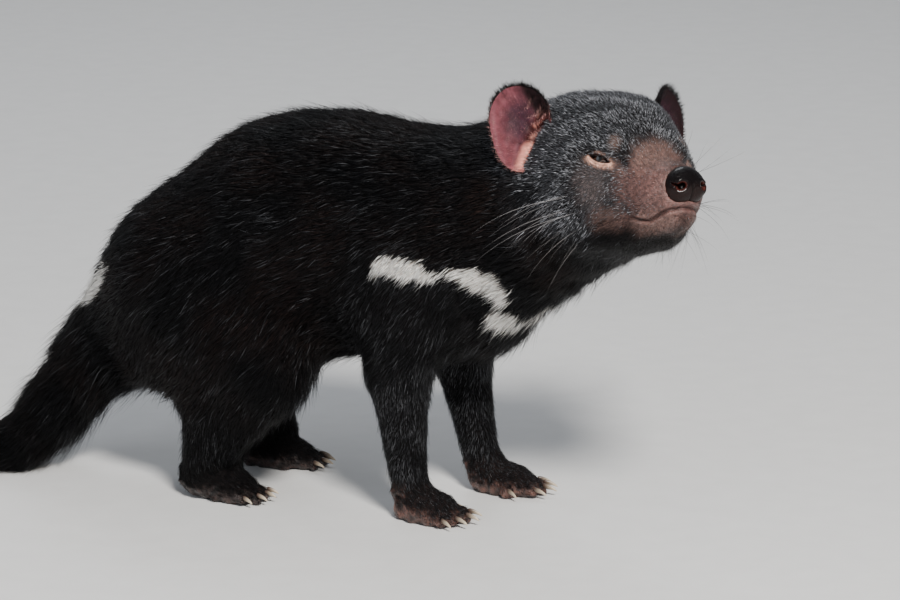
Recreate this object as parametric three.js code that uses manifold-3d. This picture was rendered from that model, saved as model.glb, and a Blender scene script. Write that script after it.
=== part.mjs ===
// A Tasmanian devil standing still, life size, its head turned to its right.
// Millimetres, +Z up, the body facing +X, the soles on z = 0.
import * as THREE from 'three';
import { mergeVertices } from 'three/addons/utils/BufferGeometryUtils.js';
import Module from 'manifold-3d';

const wasm = await Module();
wasm.setup();

// Driving dimensions
const gap = 0.3; // between pieces that touch
const overlap = 14; // how far a skin runs past its parting before the cut
const rootOverlap = 24; // the same round the outline of a leg's root
const backHeight = 299;
const bellyHeight = 111;
const ribHalfWidth = 75;
const trackHalfWidth = 45; // middle of a foot from the body's middle plane
const stance = 174; // right hind foot to right fore foot
const leftForeStep = 26; // left fore foot ahead of the right one
const leftHindStep = 4;
const noseAt = [392, -92, 284];
const headTurn = { yaw: -35, pitch: 9.5, roll: -7 };
const eyeRadius = 6.6;
const earHeight = 62;
const earWidth = 44;
const earWall = 2.4;
const clawLength = 15;
const tailTipRadius = 8;

// Colours of the finishes
const coatColour = 0x17161a;
const bareSkinColour = 0x6d4a45;
const earSkinColour = 0xa0656a;
const nosePadColour = 0x2a1a18;
const clawColour = 0xb8a48c;
const eyeColour = 0x0c0908;

const degrees = Math.PI / 180;
const vec = (at) => new THREE.Vector3(...at);
const unit = (at) => vec(at).normalize();

// Frames
const level = new THREE.Matrix4();
const headFrame = new THREE.Matrix4()
  .makeRotationFromEuler(
    new THREE.Euler(headTurn.roll * degrees, -headTurn.pitch * degrees, headTurn.yaw * degrees, 'ZYX'),
  )
  .setPosition(vec(noseAt));
const inHead = (at) => vec(at).applyMatrix4(headFrame);
const headWay = (way) => unit(way).transformDirection(headFrame);

// Flesh: signed distance to eggs and limbs, run together with soft joins
function egg(at, size, turn = [0, 0, 0], frame = level) {
  const spin = new THREE.Euler(...turn.map((angle) => angle * degrees), 'ZYX');
  const place = new THREE.Matrix4().makeRotationFromEuler(spin).setPosition(vec(at));
  const e = place.premultiply(frame).invert().elements;
  const [a, b, c] = size;
  const least = Math.min(a, b, c);
  return (x, y, z) => {
    const u = (e[0] * x + e[4] * y + e[8] * z + e[12]) / a;
    const v = (e[1] * x + e[5] * y + e[9] * z + e[13]) / b;
    const w = (e[2] * x + e[6] * y + e[10] * z + e[14]) / c;
    const near = Math.sqrt(u * u + v * v + w * w);
    const steep = Math.sqrt((u * u) / (a * a) + (v * v) / (b * b) + (w * w) / (c * c));
    return steep > 1e-9 ? (near * (near - 1)) / steep : -least;
  };
}

function limb(from, to, startRadius, endRadius, frame = level) {
  const a = vec(from).applyMatrix4(frame);
  const d = vec(to).applyMatrix4(frame).sub(a);
  const square = d.lengthSq();
  return (x, y, z) => {
    const px = x - a.x;
    const py = y - a.y;
    const pz = z - a.z;
    const along = Math.min(Math.max((px * d.x + py * d.y + pz * d.z) / square, 0), 1);
    const qx = px - d.x * along;
    const qy = py - d.y * along;
    const qz = pz - d.z * along;
    return Math.sqrt(qx * qx + qy * qy + qz * qz) - startRadius - (endRadius - startRadius) * along;
  };
}

function soften(a, b, width) {
  const near = Math.max(width - Math.abs(a - b), 0) / width;
  return Math.min(a, b) - (near * near * width) / 4;
}

const join = (masses, width) => (x, y, z) => {
  let all = masses[0](x, y, z);
  for (let i = 1; i < masses.length; i += 1) all = soften(all, masses[i](x, y, z), width);
  return all;
};

const bothSides = (make) => [-1, 1].map(make);

// Torso
const spineZ = (backHeight + bellyHeight) / 2;
const torsoDepth = (backHeight - bellyHeight) / 2;
const torso = join(
  [
    egg([92, 0, spineZ], [108, ribHalfWidth, torsoDepth]),
    egg([36, 0, spineZ - 9], [88, ribHalfWidth + 1, torsoDepth - 3]),
    egg([-38, 0, 165], [80, 65, 68], [0, -42, 0]),
    egg([152, 0, 222], [62, 52, 58]),
    egg([192, 0, 172], [50, 52, 58], [0, 12, 0]),
    limb([-52, 0, 144], [-96, 0, 112], 58, 34),
    ...bothSides((side) => limb([-40, 34 * side, 118], [-74, 24 * side, 100], 36, 24)),
  ],
  26,
);
const neck = join(
  [
    limb([186, 0, 224], [240, -3, 240], 66, 64),
    limb([240, -3, 240], [282, -18, 260], 64, 60),
    limb([200, 0, 182], [280, -16, 230], 50, 34),
  ],
  20,
);

// Legs: each a chain of joints down to its foot
const legs = [
  {
    name: 'fore_right', fore: true, side: -1, yaw: -6,
    shoulder: [160, -40, 196], elbow: [147, -50, 118], wrist: [156, -46, 30],
    foot: [stance - 3, -trackHalfWidth, 0],
  },
  {
    name: 'fore_left', fore: true, side: 1, yaw: 4,
    shoulder: [164, 40, 196], elbow: [156, 50, 116], wrist: [177, 46, 28],
    foot: [stance + leftForeStep - 3, trackHalfWidth, 0],
  },
  {
    name: 'hind_right', fore: false, side: -1, yaw: -8,
    hip: [-18, -38, 158], knee: [52, -56, 110], ankle: [-4, -50, 34],
    foot: [4, -trackHalfWidth - 3, 0],
  },
  {
    name: 'hind_left', fore: false, side: 1, yaw: 8,
    hip: [-18, 38, 158], knee: [8, 54, 104], ankle: [-3, 50, 34],
    foot: [4 + leftHindStep, trackHalfWidth + 3, 0],
  },
];

function footFrame(leg) {
  return new THREE.Matrix4().makeRotationZ(leg.yaw * degrees).setPosition(vec(leg.foot));
}

function foreLegFlesh(leg) {
  const frame = footFrame(leg);
  const [x, y, z] = leg.elbow;
  return join(
    [
      egg([x + 14, y + 2 * leg.side, z + 66], [46, 29, 66], [0, 10, 0]),
      limb(leg.shoulder, leg.elbow, 40, 25),
      limb([x + 4, y, z - 8], leg.wrist, 23, 15.5),
      egg([0, 0, 8], [21, 17, 13], [0, 8, 0], frame),
      egg([-15, 0, 9], [9, 12, 12], [0, 0, 0], frame),
      egg([10, 0, 8], [14, 17, 9], [0, 6, 0], frame),
    ],
    14,
  );
}

function hindLegFlesh(leg) {
  const frame = footFrame(leg);
  const [x, y, z] = leg.hip;
  const [kneeX, kneeY, kneeZ] = leg.knee;
  const [ankleX, ankleY, ankleZ] = leg.ankle;
  return join(
    [
      egg([x + 8, y + 8 * leg.side, z - 20], [74, 34, 70], [0, 12, 0]),
      limb([x + 10, y + 6 * leg.side, z - 20], leg.knee, 46, 32),
      limb([kneeX - 6, kneeY, kneeZ - 8], leg.ankle, 30, 19),
      limb([ankleX + 4, ankleY, ankleZ + 56], [ankleX - 6, ankleY, ankleZ - 10], 26, 16),
      egg([-20, 0, 10], [14, 13, 14], [0, 0, 0], frame),
      egg([2, 0, 8], [24, 15, 13], [0, 6, 0], frame),
      egg([14, 0, 7], [13, 17, 9], [0, 6, 0], frame),
    ],
    16,
  );
}

// Tail: down to the floor and along it
const tailPoints = [
  { at: [-86, 0, 130], radius: 41 },
  { at: [-122, -5, 91], radius: 33 },
  { at: [-148, -16, 53], radius: 28 },
  { at: [-172, -34, 23], radius: 22 },
  { at: [-206, -56, 14], radius: 15.5 },
  { at: [-238, -74, 7.5], radius: tailTipRadius },
];
const tailLimbs = tailPoints.slice(1).map((end, index) => {
  const start = tailPoints[index];
  return limb(start.at, end.at, start.radius, end.radius);
});
const tail = join(tailLimbs, 8);

// Head, in its own frame: x forward from the nose tip, y left, z up
const eyePlace = (side) => [-66, 32 * side, 16];
const gaze = (side) => [0.56, 0.8 * side, 0.16];
const skull = join(
  [
    egg([-106, 0, 14], [56, 52, 50], [0, 0, 0], headFrame),
    egg([-80, 0, 15], [34, 34, 33], [0, 24, 0], headFrame),
    ...bothSides((side) => egg([-112, 22 * side, 36], [38, 24, 26], [0, 0, 0], headFrame)),
    ...bothSides((side) => egg([-100, 34 * side, -6], [40, 27, 40], [0, 0, 12 * side], headFrame)),
    ...bothSides((side) => limb([-76, 10 * side, 0], [-26, 6 * side, -3], 25, 13.5, headFrame)),
    egg([-22, 0, -4], [17, 17, 16], [0, 0, 0], headFrame),
  ],
  14,
);
const face = join(
  [
    ...bothSides((side) => egg([-27, 11 * side, -10], [17, 11, 12], [0, 0, -14 * side], headFrame)),
    ...bothSides((side) => egg([-60, 24 * side, 25], [17, 8, 8], [10 * side, 22, 14 * side], headFrame)),
    ...bothSides((side) => egg([-68, 35 * side, 3], [16, 9, 9], [0, 0, -20 * side], headFrame)),
  ],
  8,
);
const lids = join(bothSides((side) => egg(eyePlace(side), [9.2, 9.2, 9.2], [0, 0, 0], headFrame)), 1);
const jawFlesh = join(
  [
    ...bothSides((side) => limb([-84, 30 * side, -30], [-30, 7.5 * side, -25], 19, 10.5, headFrame)),
    egg([-20, 0, -23.5], [12, 12, 9], [0, 0, 0], headFrame),
    egg([-86, 0, -24], [52, 34, 29], [0, -8, 0], headFrame),
  ],
  10,
);
const headFlesh = (x, y, z) => {
  const plain = soften(soften(skull(x, y, z), face(x, y, z), 7), jawFlesh(x, y, z), 7);
  return soften(plain, lids(x, y, z), 4);
};

const legFlesh = legs.map((leg) => (leg.fore ? foreLegFlesh(leg) : hindLegFlesh(leg)));
const body = (x, y, z) => {
  let all = soften(torso(x, y, z), neck(x, y, z), 26);
  for (const leg of legFlesh) all = soften(all, leg(x, y, z), 16);
  all = soften(all, tail(x, y, z), 20);
  return soften(all, headFlesh(x, y, z), 16);
};

// Partings: each a point and the way that its far side lies
const neckRoot = { at: vec([210, 0, 215]), way: unit([0.93, -0.04, 0.37]) };
const headRoot = { at: inHead([-148, 0, 0]), way: headWay([0.94, 0, 0.34]) };
const tailRoot = { at: vec([-98, -1, 110]), way: unit([-0.72, 0, -0.7]) };
const tailMiddle = { at: vec([-140, -13, 62]), way: unit([-0.56, -0.26, -0.79]) };
const tailEnd = { at: vec([-177, -38, 20]), way: unit([-0.82, -0.52, -0.2]) };
const underBelly = { at: vec([-90, 0, 72]), way: unit([0.12, 0, -1]) };

const past = ({ at, way }, x, y, z) => (x - at.x) * way.x + (y - at.y) * way.y + (z - at.z) * way.z;
const before = (plane) => (x, y, z) => past(plane, x, y, z) - overlap;
const beyond = (plane) => (x, y, z) => -past(plane, x, y, z) - overlap;
const within = (flesh, ...limits) => (x, y, z) => {
  let all = flesh(x, y, z);
  for (const limit of limits) all = Math.max(all, limit(x, y, z));
  return all;
};

// Closed surface through rings of points, with a point at each end
function loft(rings, first, last) {
  const count = rings[0].length;
  const points = [first, ...rings.flat(), last];
  const end = points.length - 1;
  const at = (ring, step) => 1 + ring * count + (step % count);
  const faces = [];
  for (let j = 0; j < count; j += 1) {
    faces.push(0, at(0, j + 1), at(0, j), end, at(rings.length - 1, j), at(rings.length - 1, j + 1));
    for (let i = 0; i + 1 < rings.length; i += 1) {
      const [a, b, c, d] = [at(i, j), at(i, j + 1), at(i + 1, j + 1), at(i + 1, j)];
      const straight = points[a].distanceToSquared(points[c]) < points[b].distanceToSquared(points[d]);
      if (straight) faces.push(a, b, c, a, c, d);
      else faces.push(a, b, d, b, c, d);
    }
  }
  return outward(points, faces);
}

function outward(points, faces) {
  const cross = new THREE.Vector3();
  let volume = 0;
  for (let i = 0; i < faces.length; i += 3) {
    const [a, b, c] = [points[faces[i]], points[faces[i + 1]], points[faces[i + 2]]];
    volume += a.dot(cross.crossVectors(b, c));
  }
  if (volume < 0) faces.reverse();
  const geometry = new THREE.BufferGeometry();
  const coordinates = points.flatMap((point) => point.toArray());
  geometry.setAttribute('position', new THREE.Float32BufferAttribute(coordinates, 3));
  geometry.setIndex(faces);
  return geometry;
}

function solid(geometry) {
  const bare = geometry.clone();
  bare.deleteAttribute('normal');
  bare.deleteAttribute('uv');
  const merged = mergeVertices(bare, 1e-4);
  const vertProperties = new Float32Array(merged.attributes.position.array);
  const triVerts = new Uint32Array(merged.index.array);
  return new wasm.Manifold(new wasm.Mesh({ numProp: 3, vertProperties, triVerts }));
}

// A block mirrored across one axis is turned outside in; this puts it right
function mirrored(block, ...scale) {
  block.scale(...scale);
  const corners = Array.from({ length: block.attributes.position.count }, (_, i) => i);
  if (scale.some((factor) => factor < 0)) block.setIndex(corners.reverse());
}

// Skin: rays go out from a path inside the flesh, and fan round its two ends
function skin(flesh, path, { rings, segments, caps = 3, grow = 0, side = [0, 1, 0] }) {
  const curve = new THREE.CatmullRomCurve3(path, false, 'centripetal');
  const across = vec(side);
  const stations = [];
  for (let i = 1; i <= caps; i += 1) stations.push([0, (i / (caps + 1) - 1) * 90]);
  for (let i = 0; i < rings; i += 1) stations.push([i / (rings - 1), 0]);
  for (let i = caps; i >= 1; i -= 1) stations.push([1, (1 - i / (caps + 1)) * 90]);
  const ray = (from, way) => {
    const depthAt = (t) => {
      const p = way.clone().multiplyScalar(t).add(from);
      return flesh(p.x, p.y, p.z) - grow;
    };
    let inside = 0;
    let outside = 0;
    for (let depth = depthAt(0); depth < 0 && outside < 400; depth = depthAt(outside)) {
      inside = outside;
      outside += Math.max(0.7, -depth * 0.6);
    }
    for (let i = 0; i < 14; i += 1) {
      const middle = (inside + outside) / 2;
      if (depthAt(middle) < 0) inside = middle;
      else outside = middle;
    }
    return way.clone().multiplyScalar(inside).add(from);
  };
  const circle = stations.map(([along, tilt]) => {
    const from = curve.getPointAt(along);
    const axis = curve.getTangentAt(along);
    const v = across.clone().addScaledVector(axis, -across.dot(axis)).normalize();
    const u = new THREE.Vector3().crossVectors(v, axis);
    return Array.from({ length: segments }, (_, j) => {
      const turn = (j / segments) * 2 * Math.PI;
      const flat = u.clone().multiplyScalar(Math.cos(turn)).addScaledVector(v, Math.sin(turn));
      flat.multiplyScalar(Math.cos(tilt * degrees)).addScaledVector(axis, Math.sin(tilt * degrees));
      return ray(from, flat);
    });
  });
  const first = ray(curve.getPointAt(0), curve.getTangentAt(0).negate());
  const last = ray(curve.getPointAt(1), curve.getTangentAt(1));
  return loft(circle, first, last);
}

// Cutters
const reach = 900;
function halfSpace({ at, way }, offset) {
  const block = new THREE.BoxGeometry(reach, reach, reach);
  block.translate(0, 0, reach / 2 + offset);
  block.applyQuaternion(new THREE.Quaternion().setFromUnitVectors(new THREE.Vector3(0, 0, 1), way));
  block.translate(at.x, at.y, at.z);
  return solid(block);
}
const cutAfter = (piece, plane) => piece.subtract(halfSpace(plane, -gap / 2));
const turned = ({ at, way }) => ({ at, way: way.clone().negate() });
const cutBefore = (piece, plane) => cutAfter(piece, turned(plane));
const floor = { at: vec([0, 0, 0]), way: vec([0, 0, -1]) };
const standing = (piece) => piece.subtract(halfSpace(floor, 0));

// The outline in which a leg leaves the body, seen from the side
const legOutlines = {
  fore: { centre: [160, 184], radius: 47, foot: [104, 240], lean: 14, inner: [-14, 100] },
  hind: { centre: [4, 132], radius: 82, foot: [-66, 116], lean: 16, inner: [-12, 90] },
};

function legCutter(leg, grow) {
  const { centre, radius, foot, lean, inner } = legOutlines[leg.fore ? 'fore' : 'hind'];
  const shape = new THREE.Shape();
  shape.absarc(centre[0], centre[1], radius + grow, -8 * degrees, 188 * degrees, false);
  shape.lineTo(foot[0] - grow, -60);
  shape.lineTo(foot[1] + grow, -60);
  const block = new THREE.ExtrudeGeometry(shape, { depth: 260, bevelEnabled: false, curveSegments: 12 });
  block.rotateX(90 * degrees);
  block.translate(0, inner[0] + grow, 0);
  block.translate(0, 0, -inner[1]);
  block.rotateX(lean * degrees);
  block.translate(0, 0, inner[1]);
  mirrored(block, 1, -leg.side, 1);
  return solid(block);
}

// The same outline as a signed distance, for the skins
function legRegion(leg) {
  const { centre, radius, foot, lean, inner } = legOutlines[leg.fore ? 'fore' : 'hind'];
  const [sin, cos] = [Math.sin(lean * degrees), Math.cos(lean * degrees)];
  return (x, yWorld, zWorld) => {
    const yRow = -yWorld * leg.side;
    const zRow = zWorld - inner[1];
    const y = yRow * cos + zRow * sin;
    const z = -yRow * sin + zRow * cos + inner[1];
    const dx = x - centre[0];
    const dz = z - centre[1];
    const round = Math.hypot(dx, dz) - radius;
    const edge = dx < 0 ? [centre[0] - radius, foot[0], -1] : [centre[0] + radius, foot[1], 1];
    const down = Math.min(Math.max((centre[1] - z) / (centre[1] + 60), 0), 1);
    const limit = edge[0] + (edge[1] - edge[0]) * down;
    const straight = (x - limit) * edge[2];
    return Math.max(dz > 0 ? round : straight, y - inner[0]);
  };
}

// Nodes
const part = new THREE.Group();
function finish(colour, roughness, metalness = 0) {
  return new THREE.MeshStandardMaterial({ color: colour, roughness, metalness });
}
const coat = () => finish(coatColour, 0.7);
const bareSkin = () => finish(bareSkinColour, 0.6);

function add(name, piece, material) {
  const whole = piece.decompose().sort((a, b) => b.volume() - a.volume())[0];
  const mesh = whole.getMesh();
  const geometry = new THREE.BufferGeometry();
  geometry.setAttribute('position', new THREE.BufferAttribute(new Float32Array(mesh.vertProperties), 3));
  geometry.setIndex(new THREE.BufferAttribute(new Uint32Array(mesh.triVerts), 1));
  geometry.computeVertexNormals();
  const node = new THREE.Mesh(geometry, material);
  node.name = name;
  part.add(node);
  return whole;
}

// Torso, with its four legs' roots taken out
const spinePath = [
  [-88, 0, 140],
  [-45, 0, 172],
  [20, 0, 196],
  [90, 0, 205],
  [150, 0, 206],
  [204, 0, 196],
].map(vec);
const aboveBelly = (x, y, z) => past(underBelly, x, y, z);
const torsoFlesh = within(body, before(neckRoot), before(tailRoot), aboveBelly);
let torsoPiece = solid(skin(torsoFlesh, spinePath, { rings: 21, segments: 34, caps: 3 }));
torsoPiece = cutAfter(cutAfter(torsoPiece, neckRoot), tailRoot);
for (const leg of legs) torsoPiece = torsoPiece.subtract(legCutter(leg, gap / 2));
add('torso', torsoPiece, coat());

// Neck
const neckPath = [vec([214, 0, 216]), vec([240, -4, 228]), inHead([-154, 0, -6])];
const neckFlesh = within(body, beyond(neckRoot), before(headRoot));
const neckSkin = solid(skin(neckFlesh, neckPath, { rings: 6, segments: 30, caps: 2 }));
add('neck', cutAfter(cutBefore(neckSkin, neckRoot), headRoot), coat());

// Tail, in three lengths
const tailParts = [
  {
    name: 'tail_base', start: tailRoot, end: tailMiddle,
    path: [[-104, -2, 106], [-121, -5, 90], [-135, -11, 70]],
  },
  {
    name: 'tail_middle', start: tailMiddle, end: tailEnd,
    path: [[-143, -15, 57], [-153, -21, 43], [-170, -34, 23]],
  },
  {
    name: 'tail_end', start: tailEnd, end: null,
    path: [[-183, -42, 19], [-206, -56, 14], [-238, -74, 7.5]],
  },
];
for (const { name, path, start, end } of tailParts) {
  const limits = end ? [beyond(start), before(end)] : [beyond(start)];
  const flesh = within(body, ...limits);
  let piece = solid(skin(flesh, path.map(vec), { rings: 6, segments: 16, caps: 2 }));
  piece = cutBefore(piece, start);
  if (end) piece = cutAfter(piece, end);
  add(name, standing(piece), coat());
}

// Claws: each a curved horn with its root in a toe
function clawHorn(root, way, length, radius, grow) {
  const forward = way.clone().normalize();
  const up = new THREE.Vector3(0, 0, 1).addScaledVector(forward, -forward.z).normalize();
  const side = new THREE.Vector3().crossVectors(up, forward);
  const bend = 58 * degrees;
  const arc = length / bend;
  const steps = 4;
  const sides = 5;
  const place = (share) => {
    const turn = bend * share;
    return root.clone()
      .addScaledVector(forward, arc * Math.sin(turn))
      .addScaledVector(up, arc * (Math.cos(turn) - 1) * 0.62);
  };
  const rings = [];
  for (let i = 0; i < steps; i += 1) {
    const share = i / steps;
    const centre = place(share);
    const size = radius * (1 - share * 0.8) + grow;
    const back = i === 0 ? grow : 0;
    rings.push(Array.from({ length: sides }, (_, j) => {
      const angle = ((j + 0.5) / sides) * 2 * Math.PI;
      return centre.clone()
        .addScaledVector(forward, -back)
        .addScaledVector(side, Math.cos(angle) * size * 0.72)
        .addScaledVector(up, Math.sin(angle) * size * 1.15);
    }));
  }
  const base = root.clone().addScaledVector(forward, -grow);
  const tip = place(1).addScaledVector(forward, grow);
  return solid(loft(rings, base, tip));
}

// Toes, from the inner side outwards: root, tip and radius in the foot's frame
const foreToes = [
  { root: [-2, -12, 9], tip: [9, -20, 5], radius: 5.2 },
  { root: [10, -9, 8.5], tip: [27, -12.5, 5], radius: 5.6 },
  { root: [12, -1, 9], tip: [31, -1.5, 5], radius: 5.8 },
  { root: [10, 7, 8.5], tip: [28, 9.5, 5], radius: 5.6 },
  { root: [6, 12, 8], tip: [21, 18, 4.8], radius: 5.2 },
];
const hindToes = [
  { root: [14, -9, 8], tip: [31, -13, 4.8], radius: 5.4 },
  { root: [16, -2.5, 8.5], tip: [35, -4, 5], radius: 5.6 },
  { root: [15, 4.5, 8.5], tip: [34, 5.5, 5], radius: 5.6 },
  { root: [12, 11, 8], tip: [28, 15, 4.8], radius: 5.2 },
];

// Legs: upper part, lower part and paw
const legPartings = {
  fore: { upper: { up: [0, 0, -6], way: [0.1, 0, -1] }, lower: { up: [2, 0, -2], way: [0.34, 0, -0.94] } },
  hind: { upper: { up: [-26, 0, -36], way: [0.04, 0, -1] }, lower: { up: [2, 0, -2], way: [0.1, 0, -1] } },
};

legs.forEach((leg, index) => {
  const kind = leg.fore ? 'fore' : 'hind';
  const names = leg.fore ? ['upper_arm', 'forearm', 'fore_paw'] : ['thigh', 'shank', 'hind_paw'];
  const hand = leg.side < 0 ? 'right' : 'left';
  const top = leg.fore ? leg.shoulder : leg.hip;
  const middle = leg.fore ? leg.elbow : leg.knee;
  const bottom = leg.fore ? leg.wrist : leg.ankle;
  const { upper, lower } = legPartings[kind];
  const upperCut = { at: vec(middle).add(vec(upper.up)), way: unit(upper.way) };
  const lowerCut = { at: vec(bottom).add(vec(lower.up)), way: unit(lower.way) };
  const region = legRegion(leg);
  const inRegion = (x, y, z) => region(x, y, z) - rootOverlap;
  const cutter = legCutter(leg, -gap / 2);

  const upperFlesh = within(body, inRegion, before(upperCut), before(tailRoot));
  const out = 14 * leg.side;
  const upperPath = leg.fore
    ? [vec(top).add(vec([0, out, 0])), vec(middle).add(vec([4, out * 0.2, 10]))]
    : [vec(top).add(vec([0, out * 1.2, 10])), vec(middle).add(vec([-26, 0, 4]))];
  const upperSkin = solid(skin(upperFlesh, upperPath, { rings: 7, segments: 24, caps: 3 }));
  const upperPiece = cutAfter(cutAfter(upperSkin.intersect(cutter), upperCut), tailRoot);
  add(`${names[0]}_${hand}`, upperPiece, coat());

  const lowerFlesh = within(body, inRegion, beyond(upperCut), before(lowerCut));
  const lowerPath = leg.fore
    ? [vec(middle).add(vec([5, 0, -10])), vec(bottom).add(vec([0, 0, 4]))]
    : [vec(middle).lerp(vec(bottom), 0.58), vec(bottom).add(vec([2, 0, 6]))];
  const lowerSkin = solid(skin(lowerFlesh, lowerPath, { rings: 6, segments: 16, caps: 2 }));
  const lowerPiece = cutAfter(cutBefore(lowerSkin.intersect(cutter), upperCut), lowerCut);
  add(`${names[1]}_${hand}`, lowerPiece, coat());

  const frame = footFrame(leg);
  const inFoot = (at) => vec([at[0], at[1] * leg.side, at[2]]).applyMatrix4(frame);
  const pawFlesh = within(body, beyond(lowerCut));
  const heel = leg.fore ? [-12, 0, 9] : [-18, 0, 9];
  const pawPath = [inFoot(heel), inFoot([0, 0, 9]), inFoot([12, 0, 7])];
  let paw = solid(skin(pawFlesh, pawPath, { rings: 5, segments: 16, caps: 1 }));
  const toes = leg.fore ? foreToes : hindToes;
  const claws = [];
  for (const { root, tip, radius } of toes) {
    const [from, to] = [inFoot(root), inFoot(tip)];
    const flesh = limb(from.toArray(), to.toArray(), radius * 1.1, radius * 0.86);
    paw = paw.add(solid(skin(flesh, [from, to], { rings: 2, segments: 7, caps: 1 })));
    const way = to.clone().sub(from).setZ(0).normalize();
    const clawRoot = to.clone().addScaledVector(way, radius * 0.1).setZ(radius * 1.35);
    claws.push({ root: clawRoot, way });
  }
  paw = standing(cutBefore(paw, lowerCut));
  claws.forEach(({ root, way }, toe) => {
    const length = clawLength * (leg.fore ? 1 : 0.86);
    paw = paw.subtract(clawHorn(root, way, length, 2.6, gap));
    const claw = standing(clawHorn(root, way, length, 2.6, 0));
    add(`claw_${leg.fore ? 'fore' : 'hind'}_${hand}_${toe + 1}`, claw, finish(clawColour, 0.45));
  });
  add(`${names[2]}_${hand}`, paw, bareSkin());
});

// Nose pad with its two comma nostrils
const noseFlesh = join(
  [
    egg([-11, 0, -0.5], [12, 13.2, 12.8], [0, 0, 0], headFrame),
    ...bothSides((side) => egg([-10, 7 * side, -3], [9, 7.8, 9.5], [0, 0, 0], headFrame)),
  ],
  5,
);
const nosePath = [inHead([-17, 0, -1]), inHead([-6, 0, -1])];
const noseSkin = (grow) => solid(skin(noseFlesh, nosePath, { rings: 3, segments: 18, caps: 3, grow }));

function nostril(side) {
  const shape = new THREE.Shape();
  shape.absarc(0, 0, 3.1, 0, 2 * Math.PI, false);
  const slit = new THREE.Shape();
  slit.moveTo(-1.5, 1.6);
  slit.lineTo(-8.2, 0.6);
  slit.lineTo(-1.5, -1.8);
  const options = { depth: 12, bevelEnabled: false, curveSegments: 5 };
  const place = (outline) => {
    const block = new THREE.ExtrudeGeometry(outline, options);
    block.translate(0, 0, -7);
    const way = vec([0.8, 0.6 * side, 0.04]).normalize();
    const up = vec([0, 0, 1]).addScaledVector(way, -way.z).normalize();
    const across = new THREE.Vector3().crossVectors(up, way);
    const turn = new THREE.Matrix4().makeBasis(across, up, way);
    mirrored(block, side, 1, 1);
    block.applyMatrix4(turn.setPosition(vec([-3.2, 7.4 * side, -1.5])));
    block.applyMatrix4(headFrame);
    return solid(block);
  };
  return place(shape).add(place(slit));
}
let nose = noseSkin(0);
for (const side of [-1, 1]) nose = nose.subtract(nostril(side));
add('nose', nose, finish(nosePadColour, 0.25));

// Mouth: the lower jaw is parted from the head along the line of the lips
const lipLine = [[14, -17], [-4, -18.5], [-12, -17.5], [-26, -22.5], [-40, -23.5], [-56, -26]];
const jawBack = [[-66, -37], [-84, -90]];

function acrossHead(outline, halfWidth = 90) {
  const shape = new THREE.Shape(outline.map(([x, z]) => new THREE.Vector2(x, z)));
  const block = new THREE.ExtrudeGeometry(shape, { depth: 2 * halfWidth, bevelEnabled: false });
  block.rotateX(90 * degrees);
  block.translate(0, halfWidth, 0);
  block.applyMatrix4(headFrame);
  return solid(block);
}
function jawCutter(offset) {
  const front = [20, -90];
  const top = lipLine.map(([x, z]) => [x, z + offset]);
  const back = jawBack.map(([x, z]) => [x - offset, z]);
  return acrossHead([...top, ...back, front]);
}
const lipGroove = acrossHead([
  ...lipLine.slice(1).map(([x, z]) => [x, z + 0.5]),
  [-59, -27],
  ...lipLine.slice(1).reverse().map(([x, z]) => [x, z - 0.5]),
]);

// Eyes, each in a socket behind a narrow slit between its lids
function eyeBall(side, grow) {
  const ball = new THREE.SphereGeometry(eyeRadius + grow, 12, 8);
  ball.applyMatrix4(new THREE.Matrix4().makeTranslation(...eyePlace(side)));
  ball.applyMatrix4(headFrame);
  return solid(ball);
}
function eyeSlit(side) {
  const shape = new THREE.Shape();
  shape.moveTo(-7.6, -0.6);
  shape.quadraticCurveTo(0.5, 5.4, 7.6, -1.4);
  shape.quadraticCurveTo(0, -5.2, -7.6, -0.6);
  const block = new THREE.ExtrudeGeometry(shape, { depth: 16, bevelEnabled: false, curveSegments: 7 });
  const way = unit(gaze(side));
  const up = vec([0, 0, 1]).addScaledVector(way, -way.z).normalize();
  const across = new THREE.Vector3().crossVectors(up, way);
  mirrored(block, -side, 1, 1);
  const turn = new THREE.Matrix4().makeBasis(across, up, way).setPosition(vec(eyePlace(side)));
  block.applyMatrix4(turn);
  block.applyMatrix4(headFrame);
  return solid(block);
}

const headPath = [inHead([-138, 0, 2]), inHead([-100, 0, 4]), inHead([-60, 0, 0]), inHead([-26, 0, -8])];
const headSide = headWay([0, 1, 0]).toArray();
const wholeHead = within(body, beyond(headRoot));
const headGrid = { rings: 24, segments: 36, caps: 3, side: headSide };
const headSkin = (grow) => solid(skin(wholeHead, headPath, { ...headGrid, grow }));
const innerHead = headSkin(-4.5);
const outerHead = headSkin(gap);
let head = headSkin(0).subtract(noseSkin(gap)).subtract(lipGroove.subtract(innerHead));
const jaw = head.intersect(jawCutter(-gap / 2));
head = cutBefore(head.subtract(jawCutter(gap / 2)), headRoot);
for (const side of [-1, 1]) head = head.subtract(eyeBall(side, gap)).subtract(eyeSlit(side));
add('head', head, coat());
add('lower_jaw', jaw, bareSkin());
for (const side of [-1, 1]) {
  add(side < 0 ? 'eye_right' : 'eye_left', eyeBall(side, 0), finish(eyeColour, 0.08));
}

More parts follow.
